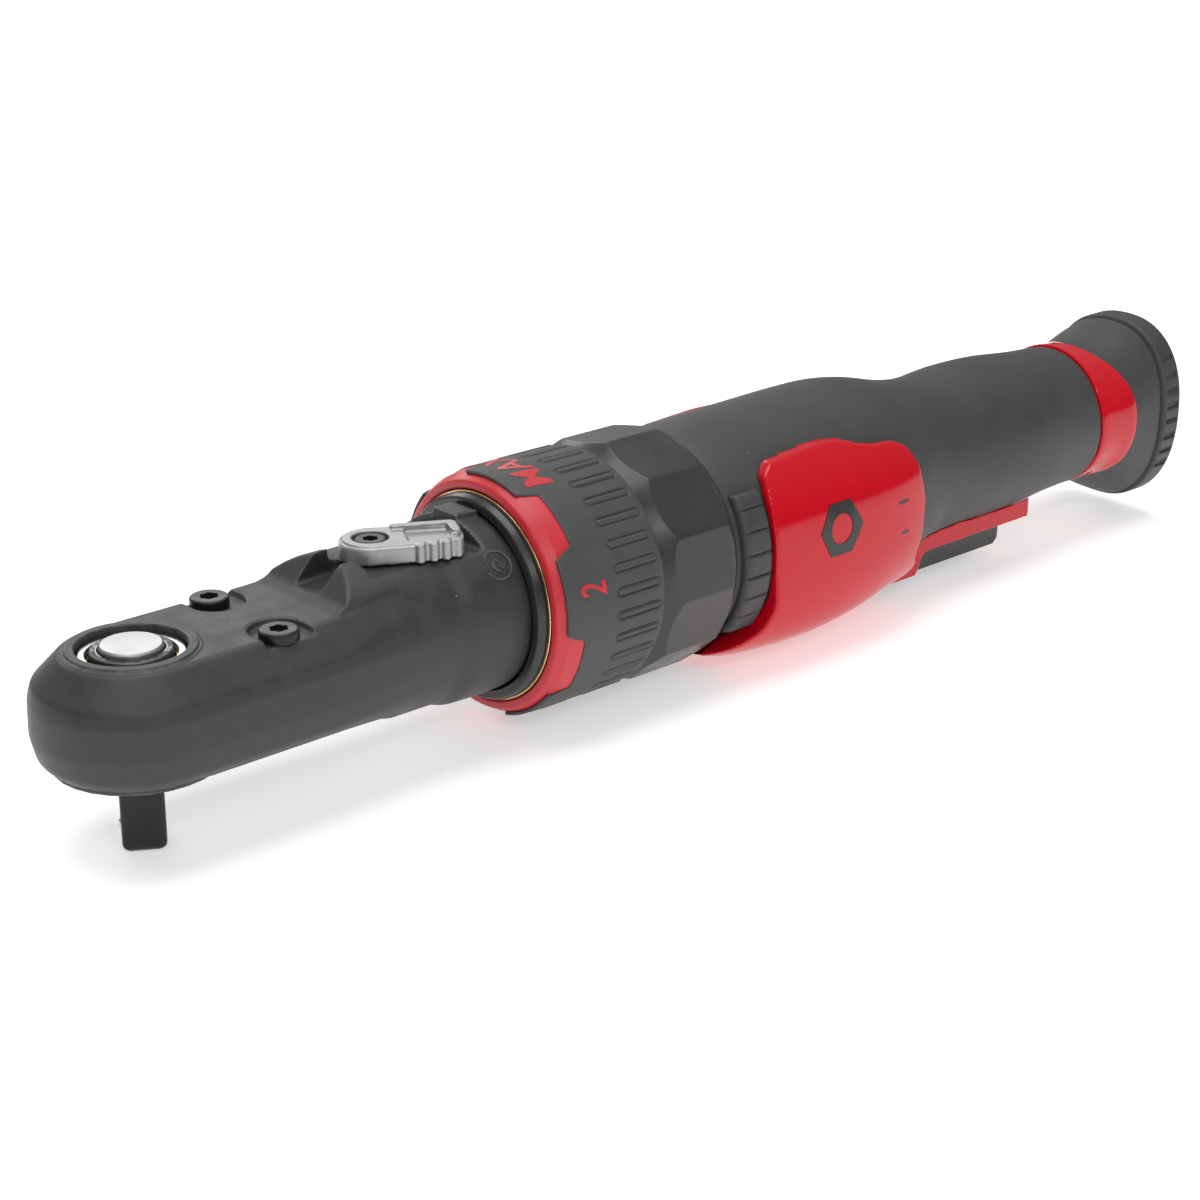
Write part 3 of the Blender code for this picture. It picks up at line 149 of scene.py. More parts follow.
HEAD_STEEL = surface("cast_black_steel", (0.042, 0.0415, 0.0412), 0.50, 0.25, mottle=0.16, grain=0.030,
                     grain_scale=1500, wear=0.55, wear_radius=0.0005, specks=0.7)
GROUND_STEEL = surface("ground_steel", (0.66, 0.66, 0.66), 0.26, 1.0, mottle=0.05, grain=0.006,
                       grain_scale=5200, brushed=(0.15, 1, 1), rough_spread=0.05)
BLACK_STEEL = surface("black_oxide", (0.016, 0.016, 0.017), 0.36, 0.4, mottle=0.25, grain=0.010, wear=0.5,
                      wear_radius=0.0002)
GEAR_STEEL = surface("gear_steel", (0.30, 0.30, 0.31), 0.34, 1.0, mottle=0.10, grain=0.008,
                     brushed=(1, 0.2, 1))
BRONZE = surface("sintered_bronze", (0.42, 0.28, 0.12), 0.42, 1.0, mottle=0.15, grain=0.02)
BRASS = surface("brass", (0.78, 0.60, 0.28), 0.26, 1.0, mottle=0.08, grain=0.006)
CAST_ALUMINIUM = surface("blasted_zinc", (0.36, 0.36, 0.362), 0.44, 0.70, mottle=0.10, grain=0.035,
                         grain_scale=2400, wear=0.4, wear_colour=(0.75, 0.75, 0.75), wear_radius=0.0003)
RED_PLASTIC = surface("red_moulded", (0.56, 0.022, 0.034), 0.38, mottle=0.05, grain=0.010, grain_scale=1800)
RED_GLOSS = surface("red_gloss", (0.56, 0.0012, 0.010), 0.10, mottle=0.03, coat=0.15, coat_rough=0.03,
                    rough_spread=0.015, specular=0.28)
DIAL_RUBBER = surface("dial_rubber", (0.056, 0.056, 0.057), 0.58, mottle=0.12, grain=0.022, grain_scale=2200,
                      specks=0.5)
NUT_BLACK = surface("nut_black", (0.031, 0.031, 0.032), 0.32, mottle=0.14, mottle_scale=150, grain=0.012,
                    grain_scale=1700, wear=0.9, wear_colour=(0.30, 0.30, 0.30), wear_radius=0.00022,
                    specks=0.5)
GRIP_RUBBER = surface("grip_rubber", (0.045, 0.045, 0.046), 0.55, mottle=0.14, mottle_scale=120, grain=0.020,
                      grain_scale=2100, specks=0.6)
BLACK_PLASTIC = surface("black_plastic", (0.020, 0.020, 0.021), 0.30, mottle=0.10, grain=0.008)
# black for the badge print; the shroud slits use it too, as painted shade
INK_AND_SLIT_SHADE = surface("badge_black_and_slit_shade", (0.012, 0.012, 0.013), 0.30, mottle=0.10, grain=0.004)
GEAR_DARK = surface("dark_spindle", (0.10, 0.10, 0.10), 0.40, 0.8, mottle=0.15, grain=0.008)
DISC_STEEL = surface("disc_steel", (0.40, 0.40, 0.40), 0.34, 0.9, mottle=0.06, grain=0.006, grain_scale=4200,
                     rough_spread=0.06)
VANE_RESIN = surface("vane_resin", (0.12, 0.07, 0.035), 0.6, mottle=0.2, grain=0.02)
FELT = surface("felt", (0.20, 0.20, 0.19), 0.92, mottle=0.3, mottle_scale=900, grain=0.12, grain_scale=3200)

SLOTS = {
    "head_steel": HEAD_STEEL, "ground_steel": GROUND_STEEL, "black_steel": BLACK_STEEL,
    "gear_steel": GEAR_STEEL, "bronze": BRONZE, "brass": BRASS, "cast_aluminium": CAST_ALUMINIUM,
    "red_plastic": RED_PLASTIC, "red_gloss": RED_GLOSS, "dial_rubber": DIAL_RUBBER,
    "nut_black": NUT_BLACK, "grip_rubber": GRIP_RUBBER, "black_plastic": BLACK_PLASTIC,
    "vane_resin": VANE_RESIN, "felt": FELT,
}


# ---------------------------------------------------------------- mesh helpers
def make(name, points, faces, mat, sharp=32.0):
    """An object from millimetre points and faces."""
    mesh = bpy.data.meshes.new(name)
    mesh.from_pydata([(x * MM, y * MM, z * MM) for x, y, z in points], [], faces)
    mesh.materials.append(mat)
    obj = bpy.data.objects.new(name, mesh)
    SCENE.collection.objects.link(obj)
    bm = bmesh.new()
    bm.from_mesh(mesh)
    bmesh.ops.remove_doubles(bm, verts=bm.verts, dist=1e-6)
    bmesh.ops.recalc_face_normals(bm, faces=bm.faces)
    bm.to_mesh(mesh)
    bm.free()
    smooth(obj, sharp)
    return obj


def smooth(obj, sharp=32.0):
    mesh = obj.data
    mesh.polygons.foreach_set("use_smooth", [True] * len(mesh.polygons))
    mesh.set_sharp_from_angle(angle=math.radians(sharp))
    return obj


def bevel(obj, width, segments, limit=30.0):
    """Round the edges that turn by more than the limit."""
    made = obj.modifiers.new("bevel", "BEVEL")
    made.width = width * MM
    made.segments = segments
    made.limit_method = "ANGLE"
    made.angle_limit = math.radians(limit)
    return bake(obj)


def bake(obj):
    """Apply an object's modifiers."""
    bpy.context.view_layer.update()
    graph = bpy.context.evaluated_depsgraph_get()
    mesh = bpy.data.meshes.new_from_object(obj.evaluated_get(graph))
    obj.modifiers.clear()
    obj.data = mesh
    return obj


def combine(obj, other, operation="DIFFERENCE"):
    """A Boolean with another object, which is used up."""
    made = obj.modifiers.new("combine", "BOOLEAN")
    made.operation = operation
    made.solver = "EXACT"
    made.object = other
    bake(obj)
    bpy.data.objects.remove(other, do_unlink=True)
    return obj


def remesh(obj, voxel, passes, mat, sharp=60.0):
    """Even out a form into one skin with soft edges."""
    made = obj.modifiers.new("skin", "REMESH")
    made.mode = "VOXEL"
    made.voxel_size = voxel * MM
    soft = obj.modifiers.new("soft", "SMOOTH")
    soft.factor = 0.5
    soft.iterations = passes
    bake(obj)
    obj.data.materials.clear()
    obj.data.materials.append(mat)
    return smooth(obj, sharp)


def give(obj, body, slot, *stands_for):
    """Hand a finished piece to its body."""
    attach(obj, body)
    if stands_for:
        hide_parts(*stands_for)
    return obj


def fillet(points, closed=False, steps=5):
    """Round the corners of an outline whose points may carry a radius: (u, v) or (u, v, radius)."""
    out = []
    count = len(points)
    for i, point in enumerate(points):
        here = Vector(point[:2])
        radius = point[2] if len(point) > 2 else 0.0
        if radius <= 0 or (not closed and i in (0, count - 1)):
            out.append(tuple(here))
            continue
        before = Vector(points[i - 1][:2]) - here
        after = Vector(points[(i + 1) % count][:2]) - here
        angle = before.angle(after)
        reach = min(radius / math.tan(angle / 2), before.length * 0.499, after.length * 0.499)
        true = reach * math.tan(angle / 2)
        start = here + before.normalized() * reach
        end = here + after.normalized() * reach
        middle = (before.normalized() + after.normalized()).normalized()
        centre = here + middle * (true / math.sin(angle / 2))
        a0 = math.atan2(start.y - centre.y, start.x - centre.x)
        a1 = math.atan2(end.y - centre.y, end.x - centre.x)
        sweep = (a1 - a0 + math.pi) % TURN - math.pi
        for k in range(steps + 1):
            a = a0 + sweep * k / steps
            out.append((centre.x + true * math.cos(a), centre.y + true * math.sin(a)))
    return out


def even(points, step, closed=False):
    """Add points so that no stretch of an outline is longer than a step."""
    out = []
    following = points[1:] + points[:1] if closed else points[1:]
    for a, b in zip(points, following):
        count = max(1, math.ceil(math.dist(a, b) / step))
        for k in range(count):
            out.append((a[0] + (b[0] - a[0]) * k / count, a[1] + (b[1] - a[1]) * k / count))
    if not closed:
        out.append(points[-1])
    return out


def revolve(name, profile, mat, axis="X", centre=(0.0, AXIS), steps=128, shape=None, sharp=32.0):
    """Turn an (along, radius) outline. shape(along, radius, angle) may move each point."""
    points, rings = [], []
    for along, radius in profile:
        ring = []
        count = 1 if radius < 1e-6 else steps
        for k in range(count):
            angle = TURN * k / steps
            u, r = shape(along, radius, angle) if shape and radius >= 1e-6 else (along, radius)
            c, s = centre[0] + math.cos(angle) * r, centre[1] + math.sin(angle) * r
            ring.append(len(points))
            points.append((u, c, s) if axis == "X" else (c, s, u))
        rings.append(ring)
    pairs = [(i, i + 1) for i in range(len(rings) - 1)]
    if profile[0][1] > 1e-6 and profile[-1][1] > 1e-6:
        pairs.append((len(rings) - 1, 0))
    faces = []
    for i, j in pairs:
        first, second = rings[i], rings[j]
        for k in range(steps):
            n = (k + 1) % steps
            if len(first) == 1:
                face = (first[0], second[n], second[k])
            elif len(second) == 1:
                face = (first[k], first[n], second[0])
            else:
                face = (first[k], first[n], second[n], second[k])
            faces.append(face)
    return make(name, points, faces, mat, sharp)


def prism(name, outline, low, high, mat, axis="Z", sharp=32.0):
    """A straight extrusion of an outline: (x, y) for Z, (x, z) for Y, (y, z) for X."""
    points = []
    for level in (low, high):
        for u, v in outline:
            points.append((u, v, level) if axis == "Z" else (u, level, v) if axis == "Y" else (level, u, v))
    n = len(outline)
    faces = [(i, (i + 1) % n, n + (i + 1) % n, n + i) for i in range(n)]
    faces += [tuple(reversed(range(n))), tuple(range(n, 2 * n))]
    return make(name, points, faces, mat, sharp)


def block(name, x0, x1, y0, y1, z0, z1, mat):
    return prism(name, [(x0, y0), (x1, y0), (x1, y1), (x0, y1)], z0, z1, mat)


def skin(name, rings, mat, sharp=32.0, caps=True):
    """Bridge equal closed rings of (x, y, z) points."""
    n = len(rings[0])
    points = [p for ring in rings for p in ring]
    faces = []
    for r in range(len(rings) - 1):
        for k in range(n):
            j = (k + 1) % n
            faces.append((r * n + k, r * n + j, (r + 1) * n + j, (r + 1) * n + k))
    if caps:
        faces += [tuple(reversed(range(n))), tuple(range((len(rings) - 1) * n, len(rings) * n))]
    return make(name, points, faces, mat, sharp)


def ease(t):
    t = min(1.0, max(0.0, t))
    return t * t * (3 - 2 * t)


def between(table, x):
    """Read a table of (x, value, ...) rows with a smooth curve through its rows."""
    if x <= table[0][0]:
        return table[0][1:]
    if x >= table[-1][0]:
        return table[-1][1:]
    i = max(k for k in range(len(table) - 1) if table[k][0] <= x)
    rows = [table[max(0, i - 1)], table[i], table[i + 1], table[min(len(table) - 1, i + 2)]]
    t = (x - rows[1][0]) / (rows[2][0] - rows[1][0])
    out = []
    for k in range(1, len(rows[0])):
        wide = rows[2][0] - rows[1][0]
        before = max(1e-6, rows[1][0] - rows[0][0]) if rows[0] is not rows[1] else wide
        after = max(1e-6, rows[3][0] - rows[2][0]) if rows[3] is not rows[2] else wide
        here = rows[2][k] - rows[1][k]
        m0 = ((rows[1][k] - rows[0][k]) / before + here / wide) / 2 * wide if rows[0] is not rows[1] else here
        m1 = ((rows[3][k] - rows[2][k]) / after + here / wide) / 2 * wide if rows[3] is not rows[2] else here
        low = (2 * t**3 - 3 * t**2 + 1) * rows[1][k] + (t**3 - 2 * t**2 + t) * m0
        out.append(low + (3 * t**2 - 2 * t**3) * rows[2][k] + (t**3 - t**2) * m1)
    return tuple(out)


def section(side, top, bottom, upper=2.0, count=128, lower=None):
    """A superellipse ring of (y, z) about the tool axis. Its lower half may be squarer than its upper."""
    out = []
    for k in range(count):
        a = TURN * k / count
        c, s = math.cos(a), math.sin(a)
        power = upper if s > 0 or lower is None else lower
        y = side * math.copysign(abs(c) ** (2 / power), c)
        z = (top if s > 0 else bottom) * math.copysign(abs(s) ** (2 / power), s)
        out.append((y, AXIS + z))
    return out


# ---------------------------------------------------------------- head housing
HEAD_SECTION = [
    (0.0, 13.2), (11.6, 13.2, 1.6), (14.1, 15.4, 2.2), (14.9, 19.0, 4.0), (14.75, 24.0, 3.0),
    (14.2, 26.1, 1.6), (10.2, 30.3, 1.3), (0.0, 30.3),
]


def build_head():
    profile = even(fillet(HEAD_SECTION, steps=6), 0.9)
    steps = 72
    inner = profile[1:-1]
    columns = []
    for j in range(steps + 1):
        a = math.pi / 2 + math.pi * j / steps
        columns.append([(w * math.cos(a), w * math.sin(a), z) for w, z in inner])
    points = [(0, 0, profile[0][1]), (0, 0, profile[-1][1])] + [p for column in columns for p in column]
    n = len(inner)
    faces = []
    for j in range(steps):
        a, b = 2 + j * n, 2 + (j + 1) * n
        faces.append((0, b, a))
        for k in range(n - 1):
            faces.append((a + k, b + k, b + k + 1, a + k + 1))
        faces.append((a + n - 1, b + n - 1, 1))
    # straight part, which turns into the round neck
    ring_ids = [0] + [2 + steps * n + k for k in range(n)] + [1] + [2 + k for k in reversed(range(n))]
    for x in [2 + 1.5 * k for k in range(31)]:
        t = ease((x - 25.0) / 24.0)
        ring = []
        half = [(0.0, profile[0][1])] + inner + [(0.0, profile[-1][1])]
        for k, (w, z) in enumerate(half):
            a = -math.pi / 2 + math.pi * k / (len(half) - 1)
            ring.append((w * (1 - t) + 13.7 * math.cos(a) * t, z * (1 - t) + (AXIS + 13.7 * math.sin(a)) * t))
        loop = [(x, -y, z) for y, z in ring] + [(x, y, z) for y, z in reversed(ring[1:-1])]
        ids = list(range(len(points), len(points) + len(loop)))
        points += loop
        m = len(ids)
        for k in range(m):
            faces.append((ring_ids[k], ids[k], ids[(k + 1) % m], ring_ids[(k + 1) % m]))
        ring_ids = ids
    faces.append(tuple(ring_ids))
    head = make("head_casting", points, faces, HEAD_STEEL)
    neck = revolve("neck", fillet([
        (38.5, 0), (38.5, 13.0), (40.0, 13.72, 2), (48.5, 13.75, 3), (50.9, 14.55, 3), (57.5, 14.7, 3),
        (61.0, 14.5), (62.6, 13.9), (66.0, 13.9), (66.0, 0),
    ]), HEAD_STEEL, steps=96)
    combine(head, neck, "UNION")
    ramp = revolve("ramp", [(24.0, 0), (24.0, 13.68), (41.0, 13.68), (41.0, 0)], HEAD_STEEL, steps=96)
    side = fillet([(25.0, 24.0), (26.4, 29.9), (29.8, 31.3, 3.0), (33.2, 34.8, 1.0), (34.6, 35.6, 1.0),
                   (36.6, 36.6), (42.0, 36.6), (42.0, 24.0)], True)
    combine(ramp, prism("ramp_side", side, -9.6, 9.6, HEAD_STEEL, "Y"), "INTERSECT")
    combine(head, ramp, "UNION")
    combine(head, block("lug", 56.4, 60.8, -2.4, 3.4, 33.0, 37.4, HEAD_STEEL), "UNION")
    # flat seat that the lever turns on, channel through the ramp, bay round the lug
    seat = fillet([(36.6, -13.0), (36.6, 13.0), (56.4, 13.0), (56.4, -13.0)], True)
    combine(head, prism("seat", seat, 33.4, 40.0, HEAD_STEEL))
    channel = fillet([(29.0, -2.9, 1.0), (29.0, 2.9, 1.0), (38.0, 3.4), (38.0, -3.4)], True)
    combine(head, prism("channel", channel, 31.25, 40.0, HEAD_STEEL))
    for side_sign in (-1, 1):
        arc = []
        for k in range(17):
            a = math.pi * k / 16
            arc.append((19.3 + 4.2 * math.cos(a), side_sign * 7.5 - side_sign * 4.2 * math.sin(a)))
        outline = arc + [(15.1, side_sign * 18), (23.5, side_sign * 18)]
        combine(head, prism("pocket", outline, 29.2, 34.0, HEAD_STEEL))
    remesh(head, 0.32, 3, HEAD_STEEL)
    # crisp machined cuts
    bore = [(10.0, 0), (10.0, 12.6), (26.5, 12.6), (26.5, 7.88), (33.0, 7.88), (33.0, 0)]
    combine(head, revolve("bore", bore, HEAD_STEEL, "Z", (0, 0), 96))
    for side_sign in (-1, 1):
        combine(head, revolve("screw_hole", [(22.0, 0), (22.0, 1.9), (29.7, 1.9), (29.7, 0)], HEAD_STEEL,
                              "Z", (SCREW_X, side_sign * SCREW_Y), 32))
    combine(head, revolve("shaft_hole", [(29.0, 0), (29.0, 2.1), (35.0, 2.1), (35.0, 0)], HEAD_STEEL, "Z",
                          (LEVER_X, 0), 32))
    give(smooth(head, 35), "root", "head_steel", "head_housing")
    collar = revolve("bearing_collar", fillet([
        (29.6, 7.88), (29.6, 10.3), (30.3, 10.0, 0.15), (30.45, 9.62, 0.12), (30.45, 9.42, 0.1),
        (30.8, 9.2, 0.2), (30.8, 8.05, 0.15), (30.55, 7.88),
    ], True), HEAD_STEEL, "Z", (0, 0), 128)
    give(collar, "root", "head_steel")
    turn_mark()


def turn_mark():
    """A raised direction symbol on the neck: a ring with a small curved arrow inside."""
    bend_strip("direction_ring_0", 2.35, 0.30, 20, 340)
    arrow = [(-0.9, -0.2), (-0.3, 0.9), (0.5, 1.0), (1.1, 0.2), (0.7, -0.9), (-0.1, -1.2), (-0.1, -0.9),
             (0.45, -0.65), (0.7, 0.1), (0.3, 0.65), (-0.1, 0.6), (-0.45, -0.1), (0.05, -0.25),
             (-0.75, -1.0), (-1.3, 0.0)]
    count = len(arrow)
    points = []
    for lift in (-0.3, 0.16):
        points += [neck_point(u, v, lift) for u, v in arrow]
    faces = [(i, (i + 1) % count, count + (i + 1) % count, count + i) for i in range(count)]
    faces += [tuple(reversed(range(count))), tuple(range(count, 2 * count))]
    give(make("direction_arrow", points, faces, HEAD_STEEL), "root", "head_steel")


def neck_point(u, v, lift):
    """A point of the symbol on the neck: u towards the nose, v upwards round the neck."""
    theta = math.radians(40.5) + v / 14.6
    radius = 14.66 + lift
    return (57.3 - u, -radius * math.cos(theta), AXIS + radius * math.sin(theta))


def bend_strip(name, radius, width, start, stop):
    """A raised line of the symbol: part of a circle, bent round the neck."""
    points = []
    steps = 48
    for k in range(steps + 1):
        a = math.radians(start + (stop - start) * k / steps)
        near, far = radius - width / 2, radius + width / 2
        for r, lift in ((near, -0.3), (near, 0.14), (far, 0.14), (far, -0.3)):
            points.append(neck_point(r * math.cos(a), r * math.sin(a), lift))
    faces = [(0, 1, 2, 3), tuple(4 * steps + i for i in (3, 2, 1, 0))]
    for k in range(steps):
        for i in range(4):
            j = (i + 1) % 4
            faces.append((4 * k + i, 4 * k + j, 4 * k + 4 + j, 4 * k + 4 + i))
    give(make(name, points, faces, HEAD_STEEL), "root", "head_steel")


# ---------------------------------------------------------------- screws
def cap_screw(name, x, y, seat, head_r, height, shank_r, tip, body, node):
    """A Torx cap screw: the recess is one surface with the head."""
    star = head_r * 0.52
    top = seat + height
    floor = top - height * 0.66
    profile = fillet([(tip, 0), (tip, shank_r, 0.3), (seat, shank_r), (seat, head_r, 0.12),
                      (top, head_r, 0.4), (top, star * 1.08)], steps=5)
    profile += [(top, star), (top - 0.12, star * 0.97), (top - height * 0.62, star * 0.95),
                (floor, star * 0.4), (floor, 0)]

    def shape(along, radius, angle):
        if along > top - height * 0.7 and radius < star * 1.05:
            radius *= 1 - 0.17 * (0.5 - 0.5 * math.cos(6 * angle)) ** 0.8
        return along, radius

    give(revolve(name, profile, BLACK_STEEL, "Z", (x, y), 96, shape, 30), body, "black_steel", node)


# ---------------------------------------------------------------- spindle and anvil
def build_drive():
    tube = revolve("spindle_top", fillet([
        (24.4, 4.85), (24.4, 5.9), (30.3, 5.9, 0.3), (30.3, 4.85, 0.15),
    ], True), GEAR_DARK, "Z", (0, 0), 96)
    give(tube, "spindle", "gear_steel")
    snap = revolve("snap_ring", fillet([
        (28.95, 6.45, 0.15), (28.95, 7.6, 0.15), (29.75, 7.6, 0.25), (29.75, 6.45, 0.25),
    ], True), GROUND_STEEL, "Z", (0, 0), 120)
    gap = block("gap", 5.0, 9.0, -1.7, 1.7, 28.0, 31.0, BLACK_STEEL)
    gap.matrix_world = Matrix.Rotation(math.radians(190.0), 4, "Z")
    bpy.context.view_layer.update()
    give(smooth(combine(snap, gap)), "root", "black_steel", "spindle_snap_ring")
    # anvil: square drive with soft corners, hexagon and ground pilot
    rings = []
    levels = [(0.0, 1.35), (0.06, 1.0), (0.25, 0.6), (0.6, 0.25), (1.0, 0.06), (1.4, 0.0), (4.0, 0.0),
              (7.3, 0.0), (11.6, 0.0)]
    c, s = math.cos(SQUARE_TURN), math.sin(SQUARE_TURN)
    for z, inset in levels:
        h = SQUARE_HALF - inset
        corner = max(0.5, 0.75 - inset * 0.2)
        square = fillet([(-h, -h, corner), (h, -h, corner), (h, h, corner), (-h, h, corner)], True, 8)
        rings.append([(x * c - y * s, x * s + y * c, z) for x, y in square])
    square = skin("anvil_square", rings, BLACK_STEEL, 40)
    facing = SQUARE_TURN + math.pi

    def towards_face(distance):
        spot = Vector((distance * math.cos(facing), distance * math.sin(facing), BALL_HEIGHT)) * MM
        return Matrix.Translation(spot)

    hole_profile = [(-1.0, 0), (-1.0, 1.22), (4.0, 1.22), (4.0, 0)]
    hole = revolve("detent_hole", hole_profile, BLACK_STEEL, "X", (0, 0), 40)
    hole.matrix_world = towards_face(1.3) @ Matrix.Rotation(facing, 4, "Z")
    give(smooth(combine(square, hole), 40), "anvil", "black_steel", "anvil")
    hexagon = []
    for k in range(6):
        a = SQUARE_TURN + k * math.pi / 3
        hexagon.append((HEXAGON_CORNER * math.cos(a), HEXAGON_CORNER * math.sin(a), 0.4))
    shank = prism("anvil_hexagon", fillet(hexagon, True, 4), 11.3, 23.6, BLACK_STEEL)
    lead = [(11.0, 0), (11.0, 4.6), (12.2, 6.6), (24.0, 6.6), (24.0, 0)]
    combine(shank, revolve("lead", lead, BLACK_STEEL, "Z", (0, 0), 96), "INTERSECT")
    give(smooth(shank), "anvil", "black_steel")
    pilot = revolve("anvil_pilot", fillet([
        (22.0, 0), (22.0, 4.5), (30.4, 4.59), (30.75, 4.59, 0.2), (31.05, 4.3, 0.15), (31.05, 0),
    ]), DISC_STEEL, "Z", (0, 0), 128)
    give(pilot, "anvil", "ground_steel")
    half_circle = [(-math.cos(math.pi * k / 24), math.sin(math.pi * k / 24)) for k in range(25)]
    ball = revolve("detent_ball", half_circle, GROUND_STEEL, "Z", (0, 0), 48, sharp=80)
    ball.data.transform(towards_face(2.625))
    give(ball, "anvil_ball", "ground_steel", "anvil_ball")


# ---------------------------------------------------------------- selector lever
def build_selector():
    outline = []
    for k in range(25):
        a = math.radians(80 + 200 * k / 24)
        outline.append((4.8 * math.cos(a), 4.8 * math.sin(a)))
    outline += fillet([(4.0, -4.95), (6.0, -4.9, 2), (9.0, -4.5, 2), (12.0, -3.9, 1.5), (13.7, -2.8, 1.0),
                       (14.0, -1.0, 1), (14.0, 2.4, 0.8), (13.2, 3.4, 0.6), (6.0, 4.1, 3), (3.0, 4.4)])
    lever = prism("selector", outline, 33.75, 36.3, CAST_ALUMINIUM)
    crown = [(x * 0.93 + 0.2, y * 0.92) for x, y in outline]
    combine(lever, prism("crown", crown, 35.5, 36.7, CAST_ALUMINIUM), "UNION")
    # low pan in front of the raised rim along the far side and the end
    pan = fillet([(5.2, -3.2, 0.5), (11.8, -2.6, 0.8), (12.2, 1.7, 0.6), (5.4, 2.2, 0.5)], True)
    combine(lever, prism("pan", pan, 36.2, 38.0, CAST_ALUMINIUM))
    rim = fillet([(3.6, 2.3, 0.4), (12.0, 1.9, 0.3), (12.2, -1.6, 0.3), (13.5, -1.6, 0.4), (13.6, 2.6, 0.8),
                  (12.9, 3.25, 0.6), (3.4, 3.7, 0.5)], True)
    combine(lever, prism("rim", rim, 36.0, 37.25, CAST_ALUMINIUM), "UNION")
    for x, y in ((6.6, -4.75), (8.7, -4.45), (10.7, -4.1), (12.6, -3.35)):
        flute = [(33.75, 0), (33.75, 0.75), (36.5, 0.75), (36.5, 0)]
        combine(lever, revolve("flute", flute, CAST_ALUMINIUM, "Z", (x, y), 24), "UNION")
    counterbore = [(32.0, 0), (32.0, 1.2), (34.9, 1.2), (34.9, 2.8), (40.0, 2.8), (40.0, 0)]
    combine(lever, revolve("counterbore", counterbore, CAST_ALUMINIUM, "Z", (0, 0), 48))
    remesh(lever, 0.15, 3, CAST_ALUMINIUM, 50)
    lever.data.transform(Matrix.Translation((LEVER_X * MM, 0, 0)) @ Matrix.Rotation(LEVER_REST, 4, "Z"))
    give(lever, "selector", "cast_aluminium", "selector_lever")
    washer = revolve("selector_boss", fillet([
        (33.3, 0), (33.3, 3.6, 0.2), (33.72, 3.6, 0.2), (33.72, 0)]), BLACK_STEEL, "Z", (LEVER_X, 0), 64)
    give(washer, "selector", "black_steel")


# ---------------------------------------------------------------- dial
def lobe(phi):
    """1 on a red lobe of the dial, 0 between lobes; phi from +Y towards +Z."""
    theta = math.degrees(math.pi - phi)
    nearest = min(abs((theta - (49.0 + 72 * k) + 180) % 360 - 180) for k in range(5))
    return 1 - ease((nearest - 13.0) / 6.0)


